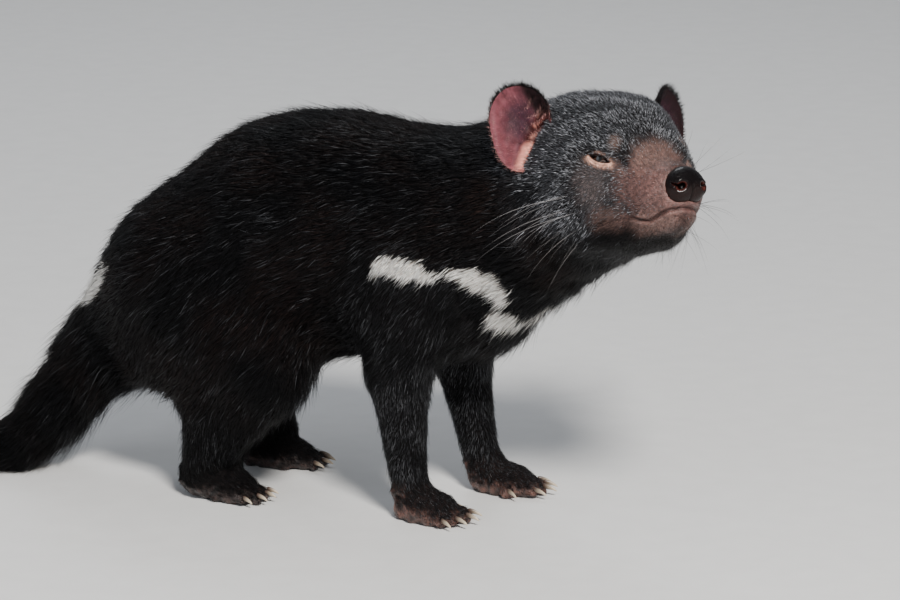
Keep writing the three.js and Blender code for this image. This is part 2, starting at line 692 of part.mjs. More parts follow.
// Ears: thin cups, open forwards and outwards
const ears = {
  right: { side: -1, canal: [-113, -50, 20], middle: [-124, -63, 38], open: [0.8, -0.6, 0.1] },
  left: { side: 1, canal: [-113, 51, 20], middle: [-126, 68, 39], open: [0.9, 0.44, 0.1] },
};
function earCup({ side, canal: canalAt, middle: middleAt, open }) {
  const way = unit(open);
  const up = unit([-0.12, 0.26 * side, 1]);
  up.addScaledVector(way, -up.dot(way)).normalize();
  const across = new THREE.Vector3().crossVectors(up, way).multiplyScalar(side);
  const middle = vec(middleAt);
  const canal = vec(canalAt);
  const count = 24;
  const steps = 4;
  const rim = (angle) => {
    const [s, c] = [Math.sin(angle), Math.cos(angle)];
    const wide = (earWidth / 2) * (1 + 0.1 * c);
    const curl = 3.5 * Math.max(-s, 0) - 2.5 * c * c;
    return middle.clone()
      .addScaledVector(up, (c * earHeight) / 2)
      .addScaledVector(across, s * wide)
      .addScaledVector(way, curl);
  };
  const place = (share, angle) => {
    const edge = rim(angle);
    const spot = canal.clone().lerp(edge, share);
    const sag = 13 * (1 - share ** 2.4) * share ** 0.5;
    return spot.addScaledVector(way, -sag);
  };
  const front = [];
  const back = [];
  for (let i = 0; i < steps; i += 1) {
    const share = 0.16 + (0.84 * i) / (steps - 1);
    const wall = earWall * (1.25 - 0.6 * share);
    const [inner, outer] = [[], []];
    for (let j = 0; j < count; j += 1) {
      const angle = (j / count) * 2 * Math.PI;
      const at = place(share, angle);
      const along = place(share + 0.02, angle).sub(place(share - 0.02, angle));
      const round = place(share, angle + 0.05).sub(place(share, angle - 0.05));
      const normal = new THREE.Vector3().crossVectors(round, along).normalize();
      if (normal.dot(way) < 0) normal.negate();
      inner.push(at.clone().addScaledVector(normal, wall / 2));
      outer.push(at.clone().addScaledVector(normal, -wall / 2));
    }
    front.push(inner);
    back.push(outer);
  }
  const rings = [...front, ...back.reverse()];
  const cup = loft(rings, canal.clone().addScaledVector(way, -1), canal.clone().addScaledVector(way, -5));
  cup.applyMatrix4(headFrame);
  return solid(cup);
}
for (const [side, ear] of Object.entries(ears)) {
  add(`ear_${side}`, earCup(ear).subtract(outerHead), finish(earSkinColour, 0.55));
}

// The middle of the whole, seen from above, is the origin
const whole = new THREE.Box3().setFromObject(part);
const middleOfWhole = whole.getCenter(new THREE.Vector3());
for (const node of part.children) node.geometry.translate(-middleOfWhole.x, -middleOfWhole.y, 0);

export default part;
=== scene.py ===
import math

import bmesh
import bpy
import numpy as np
from mathutils import Matrix, Vector
from mathutils.bvhtree import BVHTree


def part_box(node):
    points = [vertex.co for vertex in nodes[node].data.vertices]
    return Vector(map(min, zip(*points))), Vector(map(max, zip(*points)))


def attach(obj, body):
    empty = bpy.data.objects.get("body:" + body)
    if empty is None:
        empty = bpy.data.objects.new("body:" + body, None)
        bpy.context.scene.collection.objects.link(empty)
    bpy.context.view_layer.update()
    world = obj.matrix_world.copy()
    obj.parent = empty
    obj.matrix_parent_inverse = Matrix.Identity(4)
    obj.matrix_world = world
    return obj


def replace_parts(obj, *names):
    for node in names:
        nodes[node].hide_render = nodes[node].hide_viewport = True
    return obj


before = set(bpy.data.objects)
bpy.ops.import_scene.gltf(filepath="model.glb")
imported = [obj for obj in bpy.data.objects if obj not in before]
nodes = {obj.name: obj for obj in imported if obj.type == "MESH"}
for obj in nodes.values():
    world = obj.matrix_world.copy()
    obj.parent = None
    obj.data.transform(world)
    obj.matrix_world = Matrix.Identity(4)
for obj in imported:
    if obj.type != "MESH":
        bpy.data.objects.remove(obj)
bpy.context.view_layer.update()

mm = 0.001
random = np.random.default_rng(7)


# Small helpers
def srgb(hexText):
    channels = [int(hexText[i:i + 2], 16) / 255 for i in (1, 3, 5)]
    return np.array([c / 12.92 if c <= 0.04045 else ((c + 0.055) / 1.055) ** 2.4 for c in channels])


def addNode(tree, kind, settings=None, inputs=None):
    node = tree.nodes.new(kind)
    for name, value in (settings or {}).items():
        setattr(node, name, value)
    for name, value in (inputs or {}).items():
        if isinstance(value, bpy.types.NodeSocket):
            tree.links.new(value, node.inputs[name])
        else:
            node.inputs[name].default_value = value
    return node


def newMaterial(name):
    material = bpy.data.materials.new(name)
    material.use_nodes = True
    return material, material.node_tree, material.node_tree.nodes["Principled BSDF"]


def newPiece(name, mesh, material):
    piece = bpy.data.objects.new(name, mesh)
    bpy.context.scene.collection.objects.link(piece)
    mesh.materials.clear()
    mesh.materials.append(material)
    mesh.polygons.foreach_set("use_smooth", np.ones(len(mesh.polygons), bool))
    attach(piece, "root")
    return piece


def places(mesh):
    found = np.empty(len(mesh.vertices) * 3)
    mesh.vertices.foreach_get("co", found)
    return found.reshape(-1, 3)


def unit(way):
    return way / np.maximum(np.linalg.norm(way, axis=-1, keepdims=True), 1e-12)


def smoothStep(low, high, value):
    share = np.clip((value - low) / (high - low), 0, 1)
    return share * share * (3 - 2 * share)


def mixed(a, b, share):
    share = np.asarray(share)[..., None]
    return a * (1 - share) + b * share


# The head's own frame: x forwards from the tip of the nose, y to its left, z up, in mm
headPose = {"yaw": -35, "pitch": 9.5, "roll": -7, "eye": (-66, -32, 16)}
turn = (
    Matrix.Rotation(math.radians(headPose["yaw"]), 3, "Z")
    @ Matrix.Rotation(math.radians(-headPose["pitch"]), 3, "Y")
    @ Matrix.Rotation(math.radians(headPose["roll"]), 3, "X")
)
eyeLow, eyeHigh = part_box("eye_right")
noseTip = (eyeLow + eyeHigh) / 2 - turn @ Vector(headPose["eye"]) * mm
headTurn = np.array(turn)
headOrigin = np.array(noseTip)


def toHead(at):
    return (at - headOrigin) @ headTurn / mm


def fromHead(at):
    return (np.asarray(at, float) * mm) @ headTurn.T + headOrigin


def headWay(way):
    return unit(np.asarray(way, float)) @ headTurn.T


# Camera: the photo's angle and framing
cameraPose = {"azimuth": 22, "elevation": 14, "distance": 3.2, "lens": 170.2, "aim": (-229.3, 112.7, -131.25)}


def makeCamera(pose):
    azimuth, elevation = math.radians(pose["azimuth"]), math.radians(pose["elevation"])
    back = Vector((math.sin(azimuth) * math.cos(elevation), -math.cos(azimuth) * math.cos(elevation),
                   math.sin(elevation)))
    camera = bpy.data.objects.new("camera", bpy.data.cameras.new("camera"))
    bpy.context.scene.collection.objects.link(camera)
    camera.data.lens = pose["lens"]
    camera.data.clip_end = 50
    camera.location = noseTip + Vector(pose["aim"]) * mm + back * pose["distance"]
    camera.rotation_mode = "QUATERNION"
    camera.rotation_quaternion = (-back).to_track_quat("-Z", "Y")
    bpy.context.scene.camera = camera


makeCamera(cameraPose)
print("camera done")


# How the coat lies on each part of the body. Per part: the way of the hairs, then in coatKinds' order
# their length and width in mm, how far they stand off in degrees, hairs per square mm, the coat's depth
# in mm, and the shares of glint hairs, of brown and of charcoal grey in its black. The glint hairs are
# painted highlights, and the charcoal grey, strongest on the head, is partly painted light
coatKinds = ("length", "width", "lift", "dense", "depth", "paintedGlint", "brown", "charcoalAndPaintedLight")
coatMap = {
    "torso": ((-1, 0, -0.42), (14, 0.52, 15, 1.0, 4.2, 0.16, 0.45, 0)),
    "neck": ((-1, 0.1, -0.3), (13, 0.48, 16, 1.05, 4.2, 0.16, 0.2, 0.03)),
    "tail_base": ((-0.62, -0.1, -0.78), (21, 0.58, 18, 1.0, 5, 0.1, 0.4, 0)),
    "tail_middle": ((-0.56, -0.3, -0.77), (23, 0.58, 18, 1.05, 5, 0.07, 0.3, 0)),
    "tail_end": ((-0.86, -0.5, -0.1), (20, 0.58, 14, 1.1, 4, 0.05, 0.3, 0)),
    "upper_arm": ((-0.55, 0, -0.84), (11, 0.48, 16, 1.1, 3.2, 0.26, 0.1, 0.03)),
    "forearm": ((-0.2, 0, -1), (6, 0.38, 19, 1.7, 1.8, 0.55, 0.03, 0.08)),
    "fore_paw": ((0.6, 0, -0.8), (3.8, 0.3, 15, 2.1, 0.6, 0.35, 0.1, 0.1)),
    "thigh": ((-0.6, 0, -0.8), (15, 0.52, 15, 1.0, 4.2, 0.13, 0.4, 0)),
    "shank": ((-0.25, 0, -0.97), (9, 0.44, 17, 1.35, 2.4, 0.26, 0.15, 0)),
    "hind_paw": ((0.8, 0, -0.6), (4.5, 0.34, 15, 2.0, 0.7, 0.03, 0.2, 0)),
    "head": ((-1, 0, 0), (8, 0.4, 23, 1.7, 1.8, 0.32, 0.2, 0.85)),
    "lower_jaw": ((-1, 0, -0.15), (5, 0.34, 21, 1.8, 0.4, 0.08, 0.5, 0.08)),
    "nose": ((-1, 0, 0), (2, 0.3, 10, 0, 0.3, 0, 0, 0)),
    "eye": ((-1, 0, 0), (2, 0.3, 10, 0, 0.3, 0, 0, 0.5)),
}
headParts = ("head", "lower_jaw", "nose", "eye")
softening = {"torso": 60, "neck": 52, "tail": 42, "upper_arm": 30, "forearm": 20, "thigh": 34, "shank": 22,
             "fore_paw": 3, "hind_paw": 3, "head": 6, "lower_jaw": 4, "nose": 3, "eye": 8}


def partOf(nodeName):
    return max((part for part in coatMap if nodeName.startswith(part)), key=len)


fleshNodes = [name for name in nodes if not name.startswith(("claw", "ear", "eye", "nose"))]
filledNodes = fleshNodes + ["eye_right", "eye_left", "nose"]


# The hide: copies of the body's nodes fused by voxels, softened, and drawn in under the coat
def fuse(names, voxel):
    joined = bmesh.new()
    for name in names:
        part = bmesh.new()
        part.from_mesh(nodes[name].data)
        bmesh.ops.remove_doubles(part, verts=part.verts, dist=1e-5)
        part.normal_update()
        grown = [(vert, vert.normal.copy()) for vert in part.verts]
        for vert, way in grown:
            vert.co += way * 0.35 * mm
        copied = bpy.data.meshes.new("copied")
        part.to_mesh(copied)
        part.free()
        joined.from_mesh(copied)
        bpy.data.meshes.remove(copied)
    mesh = bpy.data.meshes.new("fused")
    joined.to_mesh(mesh)
    joined.free()
    shape = bpy.data.objects.new("fused", mesh)
    bpy.context.scene.collection.objects.link(shape)
    remesh = shape.modifiers.new("voxels", "REMESH")
    remesh.mode = "VOXEL"
    remesh.voxel_size = voxel
    remesh.adaptivity = 0
    fused = bpy.data.meshes.new_from_object(shape.evaluated_get(bpy.context.evaluated_depsgraph_get()))
    bpy.data.objects.remove(shape)
    return fused


def largestShell(mesh):
    shell = bmesh.new()
    shell.from_mesh(mesh)
    left = set(shell.verts)
    groups = []
    while left:
        group, front = set(), [left.pop()]
        while front:
            vert = front.pop()
            group.add(vert)
            for edge in vert.link_edges:
                other = edge.other_vert(vert)
                if other in left:
                    left.discard(other)
                    front.append(other)
        groups.append(group)
    groups.sort(key=len)
    for group in groups[:-1]:
        bmesh.ops.delete(shell, geom=list(group), context="VERTS")
    return shell


# Edges of a mesh as arrays, for softening values over its surface
class Net:
    def __init__(self, mesh):
        ends = np.empty(len(mesh.edges) * 2, np.int64)
        mesh.edges.foreach_get("vertices", ends)
        ends = ends.reshape(-1, 2)
        self.a = np.concatenate([ends[:, 0], ends[:, 1]])
        self.b = np.concatenate([ends[:, 1], ends[:, 0]])
        self.count = len(mesh.vertices)
        self.valence = np.maximum(np.bincount(self.a, minlength=self.count), 1)

    def mean(self, values):
        columns = [np.bincount(self.a, weights=values[self.b, k], minlength=self.count)
                   for k in range(values.shape[1])]
        return np.stack(columns, axis=1) / self.valence[:, None]

    def soften(self, values, rounds, share=0.5):
        rounds = np.broadcast_to(rounds, self.count)
        for step in range(int(rounds.max())):
            weight = np.clip(rounds - step, 0, 1)[:, None] * share
            values = values + (self.mean(values) - values) * weight
        return values


def normalsOf(mesh, at):
    mesh.vertices.foreach_set("co", at.ravel())
    mesh.update()
    found = np.empty(len(mesh.vertices) * 3)
    mesh.vertices.foreach_get("normal", found)
    return found.reshape(-1, 3)


# Every point of the hide knows the node that it stands for
def nearestParts(at):
    corners, faces, owners = [], [], []
    start = 0
    for name in filledNodes:
        mesh = nodes[name].data
        corners.extend(vert.co.copy() for vert in mesh.vertices)
        for face in mesh.polygons:
            faces.append([start + index for index in face.vertices])
            owners.append(name)
        start += len(mesh.vertices)
    tree = BVHTree.FromPolygons(corners, faces)
    return [owners[tree.find_nearest(Vector(place))[2]] for place in at]


def inBox(at, low, high):
    return np.all((at > low) & (at < high), axis=1)


# The areas of the head that get finer faces: lowest and highest corner in the head's frame, in mm
fineAreas = [
    {"low": (-76, -46, -48), "high": (6, 46, 34)},
    {"low": (-80, -48, 4), "high": (-52, -16, 29)},
    {"low": (-80, 16, 4), "high": (-52, 48, 29)},
    {"low": (-64, -42, -34), "high": (2, 42, -12)},
]


def refine(shell, low, high, inFrame):
    shell.verts.ensure_lookup_table()
    inside = inBox(inFrame(np.array([vert.co for vert in shell.verts])), low, high)
    edges = [edge for edge in shell.edges if inside[edge.verts[0].index] and inside[edge.verts[1].index]]
    bmesh.ops.subdivide_edges(shell, edges=edges, cuts=1, use_grid_fill=True)
    shell.verts.index_update()


# The hide's fine faces on the paws are laid back on the toes, so that each toe stands out
pawNodes = [name for name in fleshNodes if "_paw_" in name]


def layOnToes(at):
    made = at.copy()
    for name in pawNodes:
        low, high = (np.array(corner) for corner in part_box(name))
        near = inBox(at, low - 3 * mm, high + 3 * mm)
        mesh = nodes[name].data
        tree = BVHTree.FromPolygons([vert.co for vert in mesh.vertices], [face.vertices for face in mesh.polygons])
        for index in np.flatnonzero(near):
            found, _, _, away = tree.find_nearest(Vector(at[index]))
            share = min(1, max(0, (34 * mm - at[index, 2]) / (8 * mm))) * (away < 5 * mm)
            made[index] = at[index] + (np.array(found) - at[index]) * share
    return made


fused = fuse(filledNodes, 3.0 * mm)
print("fused", len(fused.polygons))
shell = largestShell(fused)
roughMesh = bpy.data.meshes.new("rough")
shell.to_mesh(roughMesh)
roughParts = nearestParts(places(roughMesh))
rounds = np.array([max(v for k, v in softening.items() if name.startswith(k)) for name in roughParts], float)
net = Net(roughMesh)
rounds = net.soften(rounds[:, None], 8)[:, 0]
softAt = net.soften(places(roughMesh), rounds)
shell.verts.ensure_lookup_table()
for vert, at in zip(shell.verts, softAt):
    vert.co = at
for area in fineAreas:
    refine(shell, area["low"], area["high"], toHead)
for name in pawNodes:
    low, high = (np.array(corner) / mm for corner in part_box(name))
    refine(shell, low - 3, (high[0] + 3, high[1] + 3, 26), lambda at: at / mm)
hideMesh = bpy.data.meshes.new("hide")
shell.to_mesh(hideMesh)
shell.free()
net = Net(hideMesh)
hideAt = net.soften(places(hideMesh), 2)
for _ in range(2):
    hideAt = net.soften(layOnToes(hideAt), 1, 0.3)
hideParts = nearestParts(hideAt)
partNames = [partOf(name) for name in hideParts]
print("hide faces", len(hideMesh.polygons))


# Values of the coat map, run softly into each other over the hide
def spread(values, rounds):
    values = np.array(values, float)
    flat = values if values.ndim > 1 else values[:, None]
    soft = net.soften(flat, rounds)
    return soft if values.ndim > 1 else soft[:, 0]


def coatValue(kind, rounds=16):
    return spread([coatMap[part][1][coatKinds.index(kind)] for part in partNames], rounds)


depth = coatValue("depth", 14)
inHead = toHead(hideAt)
onHead = np.array([part in headParts for part in partNames])
onPaw = np.array([part.endswith("paw") for part in partNames])
faceShare = smoothStep(-112, -62, inHead[:, 0]) * onHead
depth = depth * (1 - 0.8 * faceShare)
hideNormal = normalsOf(hideMesh, hideAt)
hideAt = hideAt - hideNormal * depth[:, None] * mm
hideAt = net.soften(hideAt, np.where(onHead, 1, np.where(onPaw, 0, 4)))
hideNormal = normalsOf(hideMesh, hideAt)
print("hide drawn in")


# Shapes worked into the face, given for its left side in the head's frame and mirrored, in mm
def chainDistance(at, chain, wide=None):
    nearest = np.full(len(at), 1e9)
    for start, end in zip(chain[:-1], chain[1:]):
        a, b = np.array(start[:at.shape[1]], float), np.array(end[:at.shape[1]], float)
        along = np.clip(((at - a) @ (b - a)) / max((b - a) @ (b - a), 1e-9), 0, 1)
        away = np.linalg.norm(at - a - along[:, None] * (b - a), axis=1)
        if wide:
            away = away - (start[-1] + (end[-1] - start[-1]) * along)
        nearest = np.minimum(nearest, away)
    return nearest


lipLine = [(16, -15.5), (-6, -16.5), (-12, -18.5), (-19, -22.5), (-27, -26.5), (-33, -26), (-39, -24.5),
           (-47, -25.5), (-60, -28.5)]
faceSwells = [
    {"at": (-57, 27, 27), "size": (13, 7, 4.5), "rise": 1.6},  # brow
    {"at": (-47, 24, 11), "size": (7, 6, 6), "rise": -1.6},  # hollow before the eye
    {"at": (-66, 41, 6), "size": (10, 6, 3.2), "rise": 0.9},  # bag under the eye
    {"at": (-26, 17, -8), "size": (11, 8, 7), "rise": 1.5},  # whisker pad
    {"at": (-34, 12, 14), "size": (12, 6, 6), "rise": -0.9},  # flank of the nose bridge
    {"at": (-14, 4, -28), "size": (8, 9, 5), "rise": 1.2},  # chin
    {"at": (-50, 31, -14), "size": (9, 8, 7), "rise": 1.4},  # fold behind the whisker pad
    {"at": (-62, 38, -22), "size": (7, 6, 5), "rise": 1.2},  # corner of the mouth
]
faceCreases = [
    {"path": [(-54, 33, 7), (-62, 40, 5), (-72, 43, 8)], "width": 1.3, "deep": 0.8},
    {"path": [(-56, 37, 1), (-66, 43, 0), (-76, 46, 3)], "width": 1.6, "deep": 0.7},
    {"path": [(-44, 22, 6), (-45, 27, -4), (-48, 29, -15)], "width": 1.5, "deep": 0.9},
    {"path": [(-38, 23, -4), (-40, 25, -12), (-43, 26, -19)], "width": 1.2, "deep": 0.5},
    {"path": [(-52, 26, 30), (-56, 28, 24), (-62, 33, 22)], "width": 1.2, "deep": 0.8},
    {"path": [(-30, 19, 4), (-20, 15, 5), (-12, 12, 6)], "width": 1.2, "deep": 0.5},
    {"path": [(-57, 36, -27), (-63, 39, -31), (-66, 40, -36)], "width": 1.4, "deep": 1.0},
]


# Rows of whisker pits on each whisker pad
def padRows(mirrored):
    dots = np.sin(mirrored[:, 0] * 1.05) * np.sin((mirrored[:, 2] + 0.3 * mirrored[:, 0]) * 1.3)
    away = (mirrored - np.array((-27, 18, -7))) / np.array((13, 10, 10))
    return dots, np.clip(1.6 * np.exp(-(away ** 2).sum(axis=1)), 0, 1)


def sculptFace(at):
    here = toHead(at)
    mirrored = here * np.array([1, 0, 1]) + np.abs(here) * np.array([0, 1, 0])
    rise = np.zeros(len(at))
    for swell in faceSwells:
        away = (mirrored - np.array(swell["at"])) / np.array(swell["size"])
        rise += swell["rise"] * np.exp(-(away ** 2).sum(axis=1))
    for crease in faceCreases:
        away = chainDistance(mirrored, crease["path"])
        rise -= crease["deep"] * np.exp(-(away / crease["width"]) ** 2)
    lip = chainDistance(mirrored[:, [0, 2]], lipLine)
    above = mirrored[:, 2] - np.interp(mirrored[:, 0], *np.array(lipLine[::-1]).T)
    inFront = 0.25 * smoothStep(-62, -52, mirrored[:, 0]) + 0.75 * smoothStep(-46, -34, mirrored[:, 0])
    rise += inFront * (0.9 * np.exp(-((lip - 2.6) / 1.7) ** 2) * (above > 0))
    rise += inFront * (1.1 * np.exp(-((lip - 2.4) / 1.5) ** 2) * (above <= 0))
    rise -= inFront * 2.2 * np.exp(-(lip / 0.85) ** 2)
    dots, pad = padRows(mirrored)
    rise -= 0.35 * dots * pad
    rise = rise * (mirrored[:, 0] > -100)
    return at + normalsOf(hideMesh, at) * rise[:, None] * mm


# Ears: where each stands, and how wide its opening is, in mm in the head's frame
ear = {
    "height": 62, "width": 44, "wall": 2.2,
    "right": {"side": -1, "canal": (-113, -50, 20), "middle": (-124, -63, 38), "open": (0.8, -0.6, 0.1)},
    "left": {"side": 1, "canal": (-113, 51, 20), "middle": (-126, 68, 39), "open": (0.9, 0.44, 0.1)},
}


def earAxes(kind):
    facts = ear[kind]
    side = facts["side"]
    way = unit(np.array(facts["open"], float))
    up = np.array((-0.12, 0.26 * side, 1.0))
    up = unit(up - way * (up @ way))
    across = np.cross(up, way) * side
    return side, way, up, across, np.array(facts["middle"], float), np.array(facts["canal"], float)


# The bare bowl before each ear: 1 inside its outline, on the side of the head that the ear covers, then how far
# a point lies before the ear, the ear's way, the fur hidden behind it and the fringe at its front edge
def earBowl(here, kind):
    side, way, up, across, middle, canal = earAxes(kind)
    away = here - middle
    inwards, height, before = -(away @ across), away @ up, away @ way
    round_ = np.hypot(inwards / (ear["width"] / 2), height / (ear["height"] / 2))
    cheek = inwards - (20.7 + 0.93 * height)
    share = (1 - smoothStep(0.85, 1.08, round_)) * (1 - smoothStep(-3.5, 1, cheek))
    behind = (round_ < 1.15) & (before > -26) & (before < 6)
    fringe = np.exp(-((cheek - 3) / 3) ** 2) * (round_ < 1.15) * (before > -20) * (before < 12)
    return share * (before > -20) * (before < 16), before, way, behind, fringe


def openEars(at):
    here = toHead(at)
    for kind in ("right", "left"):
        share, before, way, _, _ = earBowl(here, kind)
        here = here - way * (np.maximum(before + 15, 0) * share)[:, None]
    return fromHead(here)


# Eyes: each opening is a lens between the lids, in mm across and up from the middle of the eyeball
eye = {
    "radius": 6.5, "at": (-66, 32, 16), "gaze": (0.56, 0.8, 0.16), "lid": 1.1, "reach": 11.5,
    "rear": (-8, 1.3), "front": (8, -2.7), "upper": (-1, 3.9), "lower": (1, -5.0),
}


def eyeAxes(side):
    way = unit(np.array(eye["gaze"], float) * (1, side, 1))
    up = unit(np.array((0, 0, 1.0)) - way * way[2])
    forward = np.cross(up, way) * -side
    centre = np.array(eye["at"], float) * (1, side, 1)
    return centre, way, up, forward


def lidEdge(x, which):
    share = np.clip((x - eye["rear"][0]) / (eye["front"][0] - eye["rear"][0]), 0, 1)
    rear, middle, front = eye["rear"][1], eye[which][1], eye["front"][1]
    return rear * (1 - share) ** 2 + 2 * middle * share * (1 - share) + front * share ** 2


def openEyes(at):
    here = toHead(at)
    for side in (-1, 1):
        centre, way, up, forward = eyeAxes(side)
        away = here - centre
        x, z, h = away @ forward, away @ up, away @ way
        top, bottom = lidEdge(x, "upper"), lidEdge(x, "lower")
        middle, half = (top + bottom) / 2, np.maximum((top - bottom) / 2, 0.05)
        near = (h > -1) & (np.abs(x) < 14) & (np.abs(z) < 12)
        across = (eye["rear"][0] + eye["front"][0]) / 2
        beyond = np.maximum(np.abs(x - across) - (eye["front"][0] - across), 0)
        outside = np.hypot(np.maximum(np.abs(z - middle) - half, 0), beyond)
        inside = np.where(beyond > 0, 0, np.maximum(half - np.abs(z - middle), 0))
        flat = np.sqrt(np.maximum((eye["radius"] + eye["lid"]) ** 2 - 0.55 * x ** 2 - z ** 2, 16))
        blend = 1 - smoothStep(1.5, 6.5, outside)
        roll = 0.75 * np.exp(-((outside - 0.9) / 0.7) ** 2)
        fold = -0.7 * np.exp(-((outside - 3.6) / 0.9) ** 2) * (z > middle)
        raised = h + (flat - h) * blend * 0.85 + roll + fold
        sunk = np.sqrt(np.maximum(eye["radius"] ** 2 - x ** 2 - z ** 2, 0)) - 2.2
        sunk = np.maximum(sunk, flat - 6.5)
        h2 = np.where(inside > 0, raised + (sunk - raised) * smoothStep(0, 0.55, inside), raised)
        here = np.where(near[:, None], here + (h2 - h)[:, None] * way, here)
    return fromHead(here)


# Nose pad: an egg with a lobe on each side, a groove down its front and two comma nostrils
nosePad = {
    "middle": (-11, 0, -1), "egg": ((-11, 0, -0.5), (12.2, 13.4, 13)), "lobe": ((-10, 7, -3), (9.2, 8, 9.7)),
    "soft": 5, "nostril": (-3.2, 7.4, -1.5), "gaze": (0.8, 0.6, 0.04), "hole": 3.5, "deep": 6.5,
}


def eggField(at, middle, size):
    away = (at - np.array(middle)) / np.array(size)
    near = np.linalg.norm(away, axis=1)
    steep = np.linalg.norm(away / np.array(size), axis=1)
    return near * (near - 1) / np.maximum(steep, 1e-9)


def softLeast(a, b, width):
    near = np.maximum(width - np.abs(a - b), 0) / width
    return np.minimum(a, b) - near * near * width / 4


def noseField(at):
    field = eggField(at, *nosePad["egg"])
    for side in (-1, 1):
        middle, size = nosePad["lobe"]
        field = softLeast(field, eggField(at, np.array(middle) * (1, side, 1), size), nosePad["soft"])
    return field


# The hide goes on under the nose pad, deep enough to stay out of its nostrils
def sinkUnderNose(at):
    here = toHead(at)
    share = 1 - smoothStep(-1.2, 1.0, noseField(here))
    stump = np.array((-22.0, 0, -3))
    return fromHead(here + (stump - here) * (0.75 * share)[:, None])


hideAt = sculptFace(hideAt)
hideAt = openEyes(hideAt)
hideAt = openEars(hideAt)
hideAt = sinkUnderNose(hideAt)
hideNormal = normalsOf(hideMesh, hideAt)
print("face sculpted")


# Markings: chains of points on the body with half widths, in mm, on the near shoulder, the chest and the rump
marks = {
    "shoulder": [(68, -75, 197, 6), (76, -76.5, 200, 7.5), (86, -77, 200.5, 8.5), (94, -77, 198, 9.5),
                 (101, -75.5, 196, 5.8), (108, -73, 194, 3.2), (117, -69, 195.5, 2.9), (127, -63, 195.5, 4),
                 (136, -58, 192.5, 6.8), (146, -51.5, 187, 9.5), (153, -46.5, 182, 7), (154, -42, 172, 4.5)],
    "chest": [(148, -37, 157, 7.5), (152, -29, 153, 8), (158, -19, 149.5, 6), (168, -14, 154, 4.5),
              (176, -8, 160, 3.8), (178, 6, 161, 4.5), (168, 26, 160, 5.5), (158, 36, 164, 3.5)],
    "rump": [(-175, -35, 166, 6), (-181, -32, 160, 9.5), (-188, -27, 152, 10.5), (-197, -20, 143, 9),
             (-206, -14, 134, 5.5)],
    "rumpBack": [(-191, -20, 154, 7), (-200, -4, 149, 7.5), (-196, 12, 152, 6), (-186, 24, 158, 4)],
}
wobble = {"size": 10, "reach": 1.4}


def waveNoise(at, size, seed=0):
    ways = np.random.default_rng(seed).normal(size=(7, 3))
    shifts = np.random.default_rng(seed + 50).uniform(0, 6.28, 7)
    waves = [np.sin(at @ unit(way) / size * (0.8 + 0.25 * k) * 2.5 + shift)
             for k, (way, shift) in enumerate(zip(ways, shifts))]
    return sum(waves) / 2.6


def whiteAt(at):
    here = at / mm
    away = np.min([chainDistance(here, chain, True) for chain in marks.values()], axis=0)
    away = away + wobble["reach"] * waveNoise(here, wobble["size"], 3)
    return 1 - smoothStep(-2.6, 2.6, away)


# Colours of the bare skin and of the hairs on it, in the head's frame for its left side and mirrored.
# Each patch: its middle and reach in mm, and how much of it shows
hide = {
    "dark": ("#0f0d0e", "#0f0e11"), "muzzle": ("#785550", "#6e544f"), "bridge": ("#7d5d55", "#755f59"),
    "lip": ("#6c504a", "#5f4942"), "lid": ("#e3b09b", "#c49c8b"), "brow": ("#a98373", "#a98d80"),
    # The cheek: dark skin, and on the fur a grey that is painted light where the face is lit
    "rose": ("#7a5852", "#6a504b"), "cheek": ("#332a2b", "#6f6261"), "noseRim": ("#33201d", "#2c1e1c"),
    "paw": ("#69483f", "#3c2c28"), "ear": ("#3a1a1e", "#2a1a1a"),
}
skinPatches = [
    {"at": (-28, 15, -3), "size": (36, 24, 27), "colour": "muzzle", "share": 1.0},
    {"at": (-39, 6, 15), "size": (30, 20, 21), "colour": "bridge", "share": 0.9},
    {"at": (-12, 6, -15), "size": (14, 14, 12), "colour": "muzzle", "share": 0.9},
    {"at": (-26, 13, -28), "size": (34, 21, 14), "colour": "lip", "share": 0.95},
    {"at": (-55, 34, -26), "size": (22, 15, 13), "colour": "lip", "share": 0.65},
    {"at": (-50, 30, -5), "size": (12, 10, 12), "colour": "rose", "share": 0.2},
    {"at": (-55, 28, 9), "size": (10, 9, 10), "colour": "bridge", "share": 0.55},
    # The cheek's grey on the fur is painted light
    {"at": (-70, 42, -2), "size": (30, 16, 24), "colour": "cheek", "share": 0.75},
    {"at": (-54.5, 29, 29), "size": (7, 6, 11), "colour": "brow", "share": 0.36},
    {"at": (-11, 0, 4), "size": (19, 17, 15), "colour": "noseRim", "share": 0.8},
]


# The lids: pale below the opening and in a thin strip above the upper lid. The upper lid is darkened with
# painted shade from the brow, and a thin dark line runs along the lower lid's rim
def lidShares(here, side):
    centre, way, up, forwards = eyeAxes(side)
    away = here - centre
    x, z, h = away @ forwards, away @ up, away @ way
    top, bottom = lidEdge(x, "upper"), lidEdge(x, "lower")
    long = (1 - smoothStep(8, 12.5, np.abs(x - 0.5))) * (h > -2)
    under = (1 - smoothStep(2.8, 6.2, bottom - z)) * (z < bottom) * long
    strip = np.exp(-((z - top - 2.7) / 1.0) ** 2) * np.exp(-((x - 0.5) / 4.5) ** 2) * (h > -2)
    corner = np.exp(-(np.hypot(x - 9.5, z - bottom) / 2.6) ** 2) * (h > -4)
    dark = (1 - smoothStep(0.9, 2.0, z - top)) * (z >= top) * long
    rim = np.exp(-((z - bottom) / 0.45) ** 2) * (np.abs(x) < 8.4) * (h > 0)
    return np.clip(under + 0.8 * strip + 0.8 * corner, 0, 1), np.clip(0.9 * dark + 0.7 * rim, 0, 1)


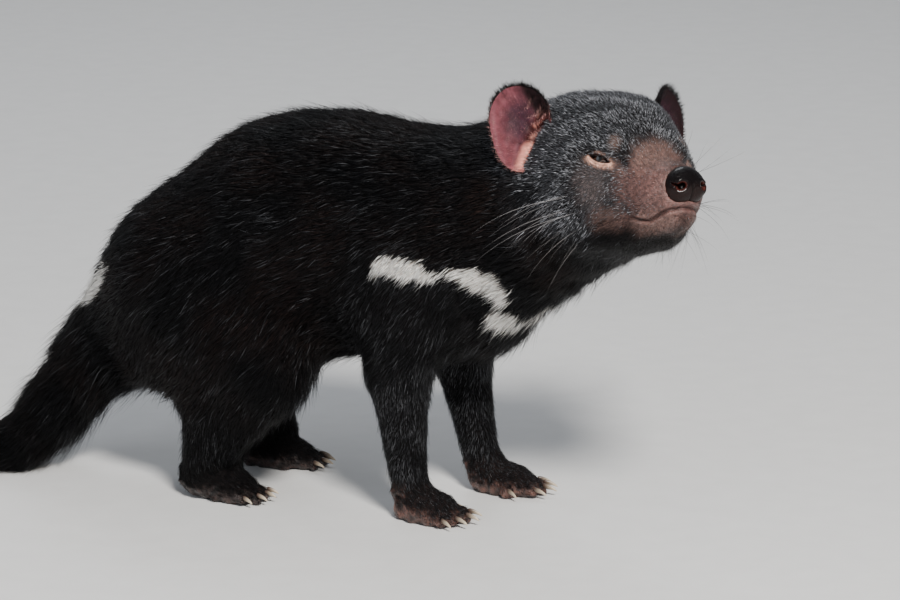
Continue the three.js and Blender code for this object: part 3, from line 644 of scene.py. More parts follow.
def paintFace(here, furred):
    mirrored = here * np.array([1, 0, 1]) + np.abs(here) * np.array([0, 1, 0])
    colour = np.tile(srgb(hide["dark"][furred]), (len(here), 1))
    shown = np.zeros(len(here))
    for patch in skinPatches:
        away = np.sqrt((((mirrored - np.array(patch["at"])) / np.array(patch["size"])) ** 2).sum(axis=1))
        away = away + 0.06 * waveNoise(here, 6, 5)
        share = patch["share"] * (1 - smoothStep(0.3, 1.12, away))
        colour = mixed(colour, srgb(hide[patch["colour"]][furred]), share)
        shown = np.maximum(shown, share)
    dots, pad = padRows(mirrored)
    colour = colour * (1 - 0.45 * pad * smoothStep(0.1, 0.7, dots))[:, None]
    for side in (-1, 1):
        pale, dark = lidShares(here, side)
        colour = mixed(colour, srgb(hide["lid"][furred]), 0.95 * pale)
        # Painted shade from the brow over the upper lid, and the lower lid's own dark rim
        colour = mixed(colour, srgb("#1d0f0d"), 0.9 * dark)
        shown = np.maximum(shown, pale)
    return colour, shown


def paintSkin(at):
    here = toHead(at)
    mirrored = here * np.array([1, 0, 1]) + np.abs(here) * np.array([0, 1, 0])
    forward = (onHead & (here[:, 0] > -92)).astype(float)
    face, shown = paintFace(here, 0)
    colour = mixed(np.tile(srgb(hide["dark"][0]), (len(at), 1)), face, forward)
    bare = shown * forward
    # Dark along the lip line: the lips' own dark edge, with painted shade in the slit between them
    lip = chainDistance(mirrored[:, [0, 2]], lipLine)
    dark = np.exp(-(lip / 1.0) ** 2) * (0.3 + 0.7 * smoothStep(-44, -33, here[:, 0])) * forward
    colour = mixed(colour, srgb("#2b1413"), 0.85 * dark)
    for kind in ("right", "left"):
        bowl = earBowl(here, kind)[0]
        colour = mixed(colour, srgb(hide["ear"][0]), 0.9 * bowl)
        bare = np.maximum(bare, bowl)
    paws = spread(onPaw.astype(float), 3)
    palm = palmAt(at)
    # Pink-brown paw skin, patchy with wear; on the hind paws it is mostly left dark, as painted shade
    hind = smoothStep(40, 0, at[:, 0] / mm)
    wearAndHindShade = np.clip(0.75 + 0.4 * waveNoise(at / mm, 5, 41), 0.2, 1) * (1 - 0.75 * hind)
    colour = mixed(colour, srgb(hide["paw"][0]), paws * (0.05 + 0.95 * palm) * wearAndHindShade)
    bare = np.maximum(bare, paws * palm)
    white = whiteAt(at)
    return mixed(colour, srgb("#efe6dd"), 0.9 * white * (1 - onHead)), bare


# Bare parts of the legs: the soles, the palms and the back of each wrist
def palmAt(at):
    height = at[:, 2] / mm
    behind = smoothStep(0.15, 0.8, -hideNormal[:, 0]) * (1 - smoothStep(26, 44, height)) * (at[:, 0] > 0)
    low = 1 - smoothStep(4, 15, height + 4 * hideNormal[:, 2])
    share = net.soften(np.clip(behind + low, 0, 1)[:, None], 8)[:, 0]
    return np.clip(share + 0.3 * waveNoise(at / mm, 4, 43) * (share > 0.05), 0, 1)


# The palms and soles are lumpy pads
def swellPalms(at):
    lumps = waveNoise(at / mm, 8, 61)
    made = at + hideNormal * (1.3 * palmAt(at) * onPaw * lumps)[:, None] * mm
    made[:, 2] = np.maximum(made[:, 2], 0.4 * mm)
    return made


def setColours(mesh, name, colours, alpha=1.0):
    layer = mesh.color_attributes.new(name, "FLOAT_COLOR", "POINT")
    alpha = np.broadcast_to(alpha, len(colours))
    layer.data.foreach_set("color", np.column_stack([colours, alpha]).ravel())


def makeHideMaterial():
    # Bare hide: soft, faintly moist skin with pores and fine crossed wrinkles, dull where the coat grows on it
    material, tree, shader = newMaterial("bareHide")
    colour = addNode(tree, "ShaderNodeAttribute", {"attribute_name": "skinColour"})
    place = addNode(tree, "ShaderNodeTexCoord").outputs["Object"]
    mottle = addNode(tree, "ShaderNodeTexNoise", None, {"Vector": place, "Scale": 1 / (3.5 * mm), "Detail": 5.0})
    shade = addNode(tree, "ShaderNodeMapRange", None,
                    {"Value": mottle.outputs["Fac"], "From Min": 0.3, "From Max": 0.7, "To Min": 0.55, "To Max": 1.3})
    tinted = addNode(tree, "ShaderNodeVectorMath", {"operation": "SCALE"},
                     {0: colour.outputs["Color"], "Scale": shade.outputs["Result"]})
    tree.links.new(tinted.outputs["Vector"], shader.inputs["Base Color"])
    pores = addNode(tree, "ShaderNodeTexVoronoi", {"feature": "F1"}, {"Vector": place, "Scale": 1 / (1.5 * mm)})
    wrinkles = addNode(tree, "ShaderNodeTexNoise", None,
                       {"Vector": place, "Scale": 1 / (2.2 * mm), "Detail": 6.0, "Roughness": 0.65})
    height = addNode(tree, "ShaderNodeMath", {"operation": "MULTIPLY_ADD"},
                     {0: pores.outputs["Distance"], 1: -0.7, 2: wrinkles.outputs["Fac"]})
    bump = addNode(tree, "ShaderNodeBump", None,
                   {"Height": height.outputs["Value"], "Strength": 1.0, "Distance": 0.8 * mm})
    tree.links.new(bump.outputs["Normal"], shader.inputs["Normal"])
    rough = addNode(tree, "ShaderNodeMapRange", None,
                    {"Value": colour.outputs["Alpha"], "To Min": 0.8, "To Max": 0.38})
    tree.links.new(rough.outputs["Result"], shader.inputs["Roughness"])
    shine = addNode(tree, "ShaderNodeMapRange", None,
                    {"Value": colour.outputs["Alpha"], "To Min": 0.1, "To Max": 0.6})
    tree.links.new(shine.outputs["Result"], shader.inputs["Specular IOR Level"])
    shader.inputs["Subsurface Weight"].default_value = 0.12
    shader.inputs["Subsurface Radius"].default_value = (1.0, 0.35, 0.2)
    shader.inputs["Subsurface Scale"].default_value = 1.2 * mm
    return material


def unwrapSkin(piece):
    bpy.context.view_layer.objects.active = piece
    piece.select_set(True)
    piece.data.uv_layers.new(name="OFBake")
    bpy.ops.object.mode_set(mode="EDIT")
    bpy.ops.mesh.select_all(action="SELECT")
    bpy.ops.uv.smart_project(angle_limit=1.15, island_margin=0.002, scale_to_bounds=True)
    bpy.ops.object.mode_set(mode="OBJECT")
    piece.select_set(False)


hideAt = swellPalms(hideAt)
hideNormal = normalsOf(hideMesh, hideAt)
setColours(hideMesh, "skinColour", *paintSkin(hideAt))
hidePiece = newPiece("hide", hideMesh, makeHideMaterial())
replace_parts(hidePiece, *fleshNodes)
unwrapSkin(hidePiece)
print("hide done")


# Copies of small hard nodes, rounded
def roundedCopy(name, levels):
    shape = bmesh.new()
    shape.from_mesh(nodes[name].data)
    bmesh.ops.remove_doubles(shape, verts=shape.verts, dist=1e-5)
    bmesh.ops.join_triangles(shape, faces=shape.faces, angle_face_threshold=3, angle_shape_threshold=3)
    mesh = bpy.data.meshes.new(name + "_round")
    shape.to_mesh(mesh)
    shape.free()
    piece = bpy.data.objects.new("rounding", mesh)
    bpy.context.scene.collection.objects.link(piece)
    rounding = piece.modifiers.new("rounding", "SUBSURF")
    rounding.levels = rounding.render_levels = levels
    made = bpy.data.meshes.new_from_object(piece.evaluated_get(bpy.context.evaluated_depsgraph_get()))
    bpy.data.objects.remove(piece)
    return made


def makeClawMaterial():
    # Claw horn: dense keratin with a fine grain, dark at the root and pale at the tip, where the ground polishes it;
    # its shine is the same all over
    material, tree, shader = newMaterial("clawHorn")
    colour = addNode(tree, "ShaderNodeAttribute", {"attribute_name": "hornColour"})
    place = addNode(tree, "ShaderNodeTexCoord").outputs["Object"]
    grain = addNode(tree, "ShaderNodeTexNoise", None, {"Vector": place, "Scale": 1 / (1.1 * mm), "Detail": 4.0})
    shade = addNode(tree, "ShaderNodeMapRange", None,
                    {"Value": grain.outputs["Fac"], "To Min": 0.75, "To Max": 1.2})
    tinted = addNode(tree, "ShaderNodeVectorMath", {"operation": "SCALE"},
                     {0: colour.outputs["Color"], "Scale": shade.outputs["Result"]})
    tree.links.new(tinted.outputs["Vector"], shader.inputs["Base Color"])
    bump = addNode(tree, "ShaderNodeBump", None,
                   {"Height": grain.outputs["Fac"], "Strength": 0.3, "Distance": 0.2 * mm})
    tree.links.new(bump.outputs["Normal"], shader.inputs["Normal"])
    shader.inputs["Roughness"].default_value = 0.36
    shader.inputs["IOR"].default_value = 1.55
    return material


clawColours = {"root": "#4a3a32", "tip": "#cdbda6"}
clawMaterial = makeClawMaterial()
for name in [name for name in nodes if name.startswith("claw")]:
    mesh = roundedCopy(name, 2)
    at = places(mesh)
    paw = [other for other in fleshNodes if other.split("_")[0] == name.split("_")[1]
           and other.endswith("paw_" + name.split("_")[2])][0]
    low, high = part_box(paw)
    away = np.linalg.norm(at - np.array((low + high) / 2), axis=1)
    share = smoothStep(0.1, 0.9, (away - away.min()) / np.ptp(away))
    setColours(mesh, "hornColour", mixed(srgb(clawColours["root"]), srgb(clawColours["tip"]), share))
    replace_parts(newPiece(name + "_horn", mesh, clawMaterial), name)
print("claws done")


# Eyeballs
def makeEyes():
    # Living eye: a clear wet cornea over a nearly black iris, so it shows one small sharp light
    material, tree, shader = newMaterial("wetEye")
    colour = addNode(tree, "ShaderNodeAttribute", {"attribute_name": "eyeColour"})
    tree.links.new(colour.outputs["Color"], shader.inputs["Base Color"])
    shader.inputs["Roughness"].default_value = 0.03
    shader.inputs["IOR"].default_value = 1.38
    shader.inputs["Coat Weight"].default_value = 1.0
    shader.inputs["Coat Roughness"].default_value = 0.02
    for side, name in ((-1, "eye_right"), (1, "eye_left")):
        centre, way, up, forward = eyeAxes(side)
        ball = bmesh.new()
        bmesh.ops.create_icosphere(ball, subdivisions=5, radius=1)
        mesh = bpy.data.meshes.new(name + "_ball")
        ball.to_mesh(mesh)
        ball.free()
        ways = unit(places(mesh))
        facing = ways @ way
        reach = eye["radius"] + 0.45 * smoothStep(0.78, 0.95, facing)
        mesh.vertices.foreach_set("co", fromHead(centre + ways * reach[:, None]).ravel())
        away = np.degrees(np.arccos(np.clip(facing, -1, 1)))
        colours = mixed(srgb("#050404"), srgb("#2c160c"), smoothStep(17, 21, away))
        colours = mixed(colours, srgb("#1a0d09"), smoothStep(36, 42, away))
        setColours(mesh, "eyeColour", colours)
        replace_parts(newPiece(name + "_ball", mesh, material), name)


makeEyes()
print("eyes done")


def makeNose():
    # Nose leather: nearly black, wet and finely pebbled, so its lights are bright and broken
    material, tree, shader = newMaterial("wetNoseLeather")
    place = addNode(tree, "ShaderNodeTexCoord").outputs["Object"]
    colour = addNode(tree, "ShaderNodeAttribute", {"attribute_name": "noseColour"})
    pebble = addNode(tree, "ShaderNodeTexVoronoi", {"feature": "DISTANCE_TO_EDGE"},
                     {"Vector": place, "Scale": 1 / (1.15 * mm)})
    edge = addNode(tree, "ShaderNodeMapRange", None,
                   {"Value": pebble.outputs["Distance"], "From Max": 0.25, "To Min": 0.0, "To Max": 1.0})
    shade = addNode(tree, "ShaderNodeMapRange", None, {"Value": edge.outputs["Result"], "To Min": 0.6, "To Max": 1.15})
    tinted = addNode(tree, "ShaderNodeVectorMath", {"operation": "SCALE"},
                     {0: colour.outputs["Color"], "Scale": shade.outputs["Result"]})
    tree.links.new(tinted.outputs["Vector"], shader.inputs["Base Color"])
    bump = addNode(tree, "ShaderNodeBump", None,
                   {"Height": edge.outputs["Result"], "Strength": 0.5, "Distance": 0.25 * mm})
    tree.links.new(bump.outputs["Normal"], shader.inputs["Normal"])
    shader.inputs["Roughness"].default_value = 0.34
    shader.inputs["Specular IOR Level"].default_value = 0.06
    shader.inputs["Coat Weight"].default_value = 0.22
    shader.inputs["Coat Roughness"].default_value = 0.07
    pad = bmesh.new()
    bmesh.ops.create_icosphere(pad, subdivisions=6, radius=1)
    mesh = bpy.data.meshes.new("nose_pad")
    pad.to_mesh(mesh)
    pad.free()
    ways = unit(places(mesh))
    low, high = np.zeros(len(ways)), np.full(len(ways), 24.0)
    middle = np.array(nosePad["middle"], float)
    for _ in range(16):
        half = (low + high) / 2
        inside = noseField(middle + ways * half[:, None]) < 0
        low, high = np.where(inside, half, low), np.where(inside, high, half)
    at = middle + ways * low[:, None]
    dark = np.zeros(len(at))
    for side in (-1, 1):
        gaze = unit(np.array(nosePad["gaze"], float) * (1, side, 1))
        up = unit(np.array((0, 0, 1.0)) - gaze * gaze[2])
        outwards = np.cross(gaze, up) * -side
        away = at - np.array(nosePad["nostril"], float) * (1, side, 1)
        u, v, w = away @ outwards, away @ up, away @ gaze
        hole = np.hypot(u + 0.3 * v, v * 1.1) / nosePad["hole"]
        slit = np.hypot(u - np.clip(u, 0, 7), v - 0.04 * u * u) / (1.5 - 0.11 * np.clip(u, 0, 7))
        nearest = np.minimum(hole, slit)
        inside = (1 - smoothStep(0.6, 1.15, nearest)) * (w > -9)
        rim = 0.9 * np.exp(-((nearest - 1.5) / 0.4) ** 2) * (w > -9)
        sink = nosePad["deep"] * (1 - smoothStep(0.15, 1.15, hole)) + 2.0 * (1 - smoothStep(0.3, 1.2, slit))
        at = at + gaze * (rim - np.minimum(sink, nosePad["deep"]) * inside)[:, None]
        dark = np.maximum(dark, inside)
    groove = np.exp(-(at[:, 1] / 0.8) ** 2) * smoothStep(2, -3, at[:, 2]) * (at[:, 0] > -12)
    at = at - np.array((1.0, 0, 0)) * (1.1 * groove)[:, None]
    mesh.vertices.foreach_set("co", fromHead(at).ravel())
    top = smoothStep(-9, 4, at[:, 2])
    colours = mixed(srgb("#1b0b09"), srgb("#0b0708"), top)
    # Reddish-brown nostril walls; deep inside the nostrils and in the groove the colour goes to black, as painted shade
    colours = mixed(colours, srgb("#532620"), np.clip(4 * dark * (1 - dark), 0, 1))
    colours = mixed(colours, srgb("#080404"), np.maximum(dark ** 3, groove * 0.6))
    setColours(mesh, "noseColour", colours)
    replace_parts(newPiece("nose_pad", mesh, material), "nose")


makeNose()
print("nose done")


# Ears: each a sphere drawn out into a thin cup, its upper half the inside and its lower half the back.
# The folds are placed in mm towards the head and up from the middle of the opening
earFolds = [
    {"path": [(7, 4), (13, 5), (19, 9)], "width": 1.7, "rise": 3.0},
    {"path": [(8, -1), (13, 0), (18, 3)], "width": 1.6, "rise": 3.4},
    {"path": [(3, 10), (9, 12), (14, 18)], "width": 1.8, "rise": 1.8},
    {"path": [(4, -8), (9, -7), (13, -5)], "width": 1.9, "rise": 3.4},
    {"path": [(3, -14), (-2, -21), (-8, -28)], "width": 4.0, "rise": 4.2},
    {"path": [(6, -4), (11, -4), (16, -2)], "width": 1.3, "rise": -3.0},
    {"path": [(-5, -10), (-9, -17), (-13, -22)], "width": 3.0, "rise": -1.4},
    {"path": [(-4, 16), (-6, 6), (-5, -5)], "width": 6, "rise": -1.6},
    {"path": [(-16, 14), (-19, 0), (-17, -14)], "width": 2.4, "rise": 1.0},
]


def earPlace(kind, share, angle):
    side, way, up, across, middle, canal = earAxes(kind)
    sine, cosine = np.sin(angle), np.cos(angle)
    wide = ear["width"] / 2 * (1 + 0.05 * cosine + 0.16 * np.maximum(-cosine * sine, 0))
    curl = 3.5 * np.maximum(-sine, 0) - 2.5 * cosine * cosine
    outwards = sine * wide + 5 * np.maximum(-cosine, 0) ** 2
    rim = (middle + up * (cosine * ear["height"] / 2)[:, None] + across * outwards[:, None]
           + way * curl[:, None])
    spot = canal + (rim - canal) * share[:, None]
    sag = 13 * (1 - share ** 2.4) * np.sqrt(share)
    return spot - way * sag[:, None]


def makeEarMaterial():
    # Ear skin: thin, flushed with blood and a little see-through, so its rim glows where light comes through
    material, tree, shader = newMaterial("flushedEarSkin")
    colour = addNode(tree, "ShaderNodeAttribute", {"attribute_name": "earColour"})
    place = addNode(tree, "ShaderNodeTexCoord").outputs["Object"]
    mottle = addNode(tree, "ShaderNodeTexNoise", None, {"Vector": place, "Scale": 1 / (5 * mm), "Detail": 6.0})
    shade = addNode(tree, "ShaderNodeMapRange", None,
                    {"Value": mottle.outputs["Fac"], "From Min": 0.3, "From Max": 0.7, "To Min": 0.7, "To Max": 1.2})
    tinted = addNode(tree, "ShaderNodeVectorMath", {"operation": "SCALE"},
                     {0: colour.outputs["Color"], "Scale": shade.outputs["Result"]})
    tree.links.new(tinted.outputs["Vector"], shader.inputs["Base Color"])
    fine = addNode(tree, "ShaderNodeTexNoise", None,
                   {"Vector": place, "Scale": 1 / (1.4 * mm), "Detail": 5.0, "Roughness": 0.6})
    bump = addNode(tree, "ShaderNodeBump", None,
                   {"Height": fine.outputs["Fac"], "Strength": 0.4, "Distance": 0.4 * mm})
    tree.links.new(bump.outputs["Normal"], shader.inputs["Normal"])
    shader.inputs["Roughness"].default_value = 0.62
    shader.inputs["Specular IOR Level"].default_value = 0.16
    shader.inputs["Subsurface Weight"].default_value = 0.3
    shader.inputs["Subsurface Radius"].default_value = (1.0, 0.3, 0.2)
    shader.inputs["Subsurface Scale"].default_value = 2.2 * mm
    return material


# The sphere operator gives its faces in another order at each run, so they are put in one order
def settleOrder(mesh):
    at = places(mesh)
    order = np.lexsort(np.round(at, 4).T)
    rank = np.argsort(order)
    faces = [[int(rank[index]) for index in face.vertices] for face in mesh.polygons]
    faces = sorted(face[face.index(min(face)):] + face[:face.index(min(face))] for face in faces)
    mesh.clear_geometry()
    mesh.from_pydata([Vector(place) for place in at[order]], [], faces)


earMaterial = makeEarMaterial()
earShapes = {}


def makeEar(kind):
    side, way, up, across, middle, canal = earAxes(kind)
    ball = bmesh.new()
    bmesh.ops.create_uvsphere(ball, u_segments=96, v_segments=64, radius=1)
    mesh = bpy.data.meshes.new("ear_" + kind + "_cup")
    ball.to_mesh(mesh)
    ball.free()
    settleOrder(mesh)
    at = places(mesh)
    height = np.degrees(np.arcsin(np.clip(at[:, 2], -1, 1)))
    angle = np.arctan2(at[:, 0], at[:, 1])
    share = 0.06 + 0.94 * np.cos(np.radians(height)) ** 0.9
    share = np.minimum(share, 1.0)
    spot = earPlace(kind, share, angle)
    along = earPlace(kind, share + 0.01, angle) - earPlace(kind, share - 0.01, angle)
    round_ = earPlace(kind, share, angle + 0.03) - earPlace(kind, share, angle - 0.03)
    normal = unit(np.cross(round_, along))
    normal = normal * np.sign((normal @ way) + 1e-9)[:, None]
    front = smoothStep(-6, 6, height) * 2 - 1
    wall = ear["wall"] * (1.25 - 0.55 * share)
    spot = spot + normal * (front * wall / 2)[:, None]
    flat = np.stack([(middle - spot) @ across, (spot - middle) @ up], axis=1)
    rise = np.zeros(len(spot))
    for fold in earFolds:
        away = chainDistance(flat, fold["path"])
        rise += fold["rise"] * np.exp(-(away / fold["width"]) ** 2)
    rise += 0.5 * waveNoise(spot, 7, 11)
    edge = smoothStep(1.0, 0.9, share)
    spot = spot + way * ((np.maximum(rise, 0) * (height > 0) + np.minimum(rise, 0)) * edge)[:, None]
    made = fromHead(spot)
    mesh.vertices.foreach_set("co", made.ravel())
    mesh.update()
    if side > 0:
        mesh.flip_normals()
    pink = np.tile(srgb(earColours[kind]), (len(spot), 1))
    # Painted shade in the ear's hollow
    hollow = 1 - smoothStep(4, 21, np.hypot(flat[:, 0] - 1, (flat[:, 1] - 7) * 0.75))
    pink = mixed(pink, srgb("#341c28"), 0.88 * hollow)
    # Painted shade in the folds by the canal, with painted highlights on their crests
    canalShare = 1 - smoothStep(3, 9, chainDistance(flat, [(18, 4), (10, -4), (6, -9)]))
    pink = mixed(pink, srgb("#3a1713"), 0.9 * canalShare)
    pink = mixed(pink, srgb("#b98074"), smoothStep(2.4, 3.4, rise) * canalShare * 0.55)
    # The pale lobe, kept faint on the left ear, which is painted in shade
    lobe = 1 - smoothStep(1.5, 7.5, chainDistance(flat, [(1, -16), (-3, -22), (-9, -30)]))
    pink = mixed(pink, srgb("#f0a392"), lobe * (0.15 if side > 0 else 1.0))
    # A paler strip low in the middle of the left ear's painted shade
    pale = np.exp(-((flat[:, 0] - 1) / 6) ** 2) * smoothStep(14, 2, flat[:, 1]) * (side > 0)
    pink = mixed(pink, srgb("#5a2731"), 0.8 * pale)
    front = smoothStep(9, 15, flat[:, 0] + 0.25 * flat[:, 1] - 2) * smoothStep(2, 9, flat[:, 1])
    pink = mixed(pink, srgb("#140c0e"), 0.92 * front)
    # Painted light: the outer part of the rim is brighter, as where light shines through it
    pink = mixed(pink, 1.6 * srgb(earColours[kind]), 0.6 * smoothStep(0.7, 0.95, share) * smoothStep(6, 0, flat[:, 0]))
    streaks = waveNoise(np.stack([16 * angle, 2.5 * share, 0 * share], axis=1), 1.0, 13)
    pink = pink * (1 + 0.13 * streaks)[:, None]
    inner = smoothStep(-4, 4, height)
    colours = mixed(np.tile(srgb("#191214"), (len(spot), 1)), pink, inner)
    setColours(mesh, "earColour", colours)
    piece = newPiece("ear_" + kind + "_cup", mesh, earMaterial)
    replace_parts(piece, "ear_" + kind)
    unwrapSkin(piece)
    earShapes[kind] = {"piece": piece, "at": made, "share": share, "height": height, "flat": flat}


# Inside colour of each ear: flushed pink on the right; on the left it is painted shade, nearly black
earColours = {"right": "#683a41", "left": "#180b0e"}
for kind in ("right", "left"):
    makeEar(kind)
print("ears done")


# Coat: tufts rooted evenly over the hide, each a thin spindle of six faces bent along the lie of the coat
# The pale grey of the glint hairs is a painted highlight; the charcoal grey is partly painted light
coat = {
    "tufts": 230000, "perPiece": 32000, "black": "#0b0b0d", "charcoalAndPaintedLight": "#55575c", "brown": "#2a1d19",
    "paintedGlint": "#a0a2a8", "white": "#fdfbf7", "clump": 9, "pull": 0.42, "standing": 0.2, "patch": 0.0015,
    "glint": (0.06, 0.5),
}


def coatWay():
    ways = np.array([coatMap[part][0] for part in partNames], float)
    ways[onHead] = unit(ways[onHead]) @ headTurn.T
    here = toHead(hideAt)
    cheek = onHead * (1 - smoothStep(-6, 14, here[:, 2])) * (1 - smoothStep(-60, -30, here[:, 0]))
    down = np.column_stack([np.full(len(here), -0.86), 0.1 * np.sign(here[:, 1]), np.full(len(here), -0.5)])
    ways = mixed(ways, down @ headTurn.T, cheek)
    brow = onHead * smoothStep(14, 26, here[:, 2]) * smoothStep(-84, -60, here[:, 0]) * smoothStep(-30, -44, here[:, 0])
    lifted = np.column_stack([np.full(len(here), -0.8), 0.45 * np.sign(here[:, 1]), np.full(len(here), 0.4)])
    ways = mixed(ways, lifted @ headTurn.T, brow * 0.8)
    return unit(spread(ways, np.where(onHead, 12, 45)))


def coatFields():
    here = toHead(hideAt)
    mirrored = here * np.array([1, 0, 1]) + np.abs(here) * np.array([0, 1, 0])
    length, width, lift, dense = (coatValue(kind) for kind in ("length", "width", "lift", "dense"))
    back = here[:, 0]
    faceLength = np.interp(back, [-130, -100, -75, -50, -20], [9, 5.8, 4.1, 3.0, 2.1])
    faceWidth = np.interp(back, [-130, -90, -50, -20], [0.42, 0.3, 0.24, 0.2])
    faceDense = np.interp(back, [-130, -90, -55, -20], [1.6, 2.8, 3.4, 2.6])
    head = spread(onHead.astype(float), 6)
    low = smoothStep(-24, -38, here[:, 2])
    faceLength = faceLength * (1 + 0.9 * low * smoothStep(-14, -60, back))
    faceDense = faceDense * (1 + 0.5 * low)
    length, width = length + (faceLength - length) * head, width + (faceWidth - width) * head
    dense = dense + (faceDense - dense) * head
    muzzle = np.exp(-(((mirrored - np.array((-26, 15, -4))) / np.array((24, 16, 22))) ** 2).sum(axis=1))
    dense = dense * (1 - 0.2 * np.clip(1.5 * muzzle, 0, 1) * head)
    lip = chainDistance(mirrored[:, [0, 2]], lipLine)
    dense = dense * (1 - head * (1 - smoothStep(0.8, 3.0, lip)) * smoothStep(-50, -36, back))
    for side in (-1, 1):
        centre, way, up, forwards = eyeAxes(side)
        away = here - centre
        x, z, h = away @ forwards, away @ up, away @ way
        top, bottom = lidEdge(x, "upper"), lidEdge(x, "lower")
        eyeOpen = (z < top + 0.9) & (z > bottom - 2.6) & (np.abs(x) < 9) & (h > -4)
        dense = np.where(eyeOpen & onHead, 0, dense)
        pale, _ = lidShares(here, side)
        length = length * (1 - 0.55 * pale)
    for kind in ("right", "left"):
        bowl, _, _, behind, fringe = earBowl(here, kind)
        dense = dense * (1 - smoothStep(0.02, 0.3, bowl)) * (1 + 0.7 * fringe)
        length, lift = np.where(behind, length * 0.4, length), np.where(behind, lift * 0.5, lift)
        length, lift = length * (1 + 1.6 * fringe), lift * (1 + 0.5 * fringe)
    dense = np.where((noseField(here) < 0.8) & onHead, 0, dense)
    paw = spread(onPaw.astype(float), 2)
    dense = dense * (1 - 0.96 * palmAt(hideAt) * paw)
    wrist = palmAt(hideAt) * (hideAt[:, 2] < 46 * mm) * np.array([part == "forearm" for part in partNames])
    dense = dense * (1 - 0.7 * wrist)
    dense = np.where((hideNormal[:, 2] < -0.5) & (paw > 0.3), 0, dense)
    under = smoothStep(0.2, 0.8, -hideNormal[:, 2]) * (1 - head) * (1 - paw)
    ahead = smoothStep(0.3, 0.8, hideNormal[:, 0]) * (hideAt[:, 2] > 90 * mm) * (1 - head)
    length = length * (1 + 0.35 * np.maximum(under, ahead))
    lift = lift * (1 + 0.5 * np.maximum(under, ahead))
    return length, width, lift, dense


def rootsOn(piece, at, dense, count):
    mesh = piece.data
    mesh.calc_loop_triangles()
    corners = np.empty(len(mesh.loop_triangles) * 3, np.int64)
    mesh.loop_triangles.foreach_get("vertices", corners)
    corners = corners.reshape(-1, 3)
    loops = np.empty(len(mesh.loop_triangles) * 3, np.int64)
    mesh.loop_triangles.foreach_get("loops", loops)
    loops = loops.reshape(-1, 3)
    a, b, c = (at[corners[:, k]] for k in range(3))
    area = np.linalg.norm(np.cross(b - a, c - a), axis=1) / 2
    weight = np.cumsum(area * dense[corners].mean(axis=1))
    chosen = np.searchsorted(weight, (np.arange(count) + random.random(count)) / count * weight[-1])
    chosen = np.minimum(chosen, len(corners) - 1)
    u, v = random.random(count), random.random(count)
    over = u + v > 1
    u, v = np.where(over, 1 - u, u), np.where(over, 1 - v, v)
    shares = np.column_stack([1 - u - v, u, v])
    flat = np.empty(len(mesh.loops) * 2)
    mesh.uv_layers["OFBake"].uv.foreach_get("vector", flat)
    flat = flat.reshape(-1, 2)
    uv = (flat[loops[chosen]] * shares[:, :, None]).sum(axis=1)
    return corners[chosen], shares, uv


def atRoots(values, corners, shares):
    taken = values[corners]
    if taken.ndim == 2:
        return (taken * shares).sum(axis=1)
    return (taken * shares[:, :, None]).sum(axis=1)


# Spindles: a root point under the hide, a ring of three points at the widest, and a tip
def spindles(root, normal, way, length, width, lift, sideways):
    side = np.cross(normal, way)
    rise = np.radians(lift)
    reach = (length * mm)[:, None]
    start = root - normal * 0.6 * mm
    middle = root + (way * np.cos(rise)[:, None] + normal * np.sin(rise)[:, None]) * reach * 0.42
    tip = root + (way * np.cos(rise * 0.7)[:, None] + normal * np.sin(rise * 0.62)[:, None] + side * sideways[:, None]) * reach
    return start, middle, tip, side


def tuftMesh(name, start, middle, tip, side, width, colour, tipColour, uv):
    count = len(start)
    along = unit(tip - start)
    side = unit(side - along * (side * along).sum(axis=1, keepdims=True))
    up = np.cross(side, along)
    half = (width * mm / 2)[:, None]
    ring = [middle + side * half, middle - side * half, middle + up * half * 0.9]
    at = np.stack([start, *ring, tip], axis=1).reshape(-1, 3)
    at[:, 2] = np.maximum(at[:, 2], 0.3 * mm)
    first = np.arange(count)[:, None] * 5
    pattern = np.array([0, 2, 1, 0, 3, 2, 0, 1, 3, 4, 1, 2, 4, 2, 3, 4, 3, 1])
    index = (first + pattern[None, :]).ravel()
    mesh = bpy.data.meshes.new(name)
    mesh.vertices.add(count * 5)
    mesh.vertices.foreach_set("co", at.ravel())
    mesh.loops.add(len(index))
    mesh.loops.foreach_set("vertex_index", index)
    mesh.polygons.add(len(index) // 3)
    mesh.polygons.foreach_set("loop_start", np.arange(0, len(index), 3))
    mesh.update(calc_edges=True)
    patch = coat["patch"]
    spots = np.array([(0, -patch), (patch, 0), (-patch, 0), (0.4 * patch, 0.2 * patch), (0, patch)])
    places2 = (uv[:, None, :] + spots[None]).reshape(-1, 2)
    layer = mesh.uv_layers.new(name="OFBake")
    layer.uv.foreach_set("vector", places2[index].ravel())
    shades = np.stack([colour * 0.7, colour, colour, colour, tipColour], axis=1).reshape(-1, 3)
    setColours(mesh, "coatColour", shades)
    return mesh


def makeCoatMaterial():
    # Guard hairs: coarse, nearly black and lightly oiled, so each one throws a faint glint along its length;
    # the cool glints are mostly painted into the colours of the glint hairs
    material, tree, shader = newMaterial("blackGuardHair")
    colour = addNode(tree, "ShaderNodeAttribute", {"attribute_name": "coatColour"})
    tree.links.new(colour.outputs["Color"], shader.inputs["Base Color"])
    shader.inputs["Roughness"].default_value = 0.42
    shader.inputs["IOR"].default_value = 1.55
    shader.inputs["Specular IOR Level"].default_value = 0.1
    return material


coatMaterial = makeCoatMaterial()
coatGroups = {
    "torso": ("torso",), "neck": ("neck",), "head": headParts, "tail": ("tail_base", "tail_middle", "tail_end"),
    "forelegs": ("upper_arm", "forearm", "fore_paw"), "hindlegs": ("thigh", "shank", "hind_paw"),
}
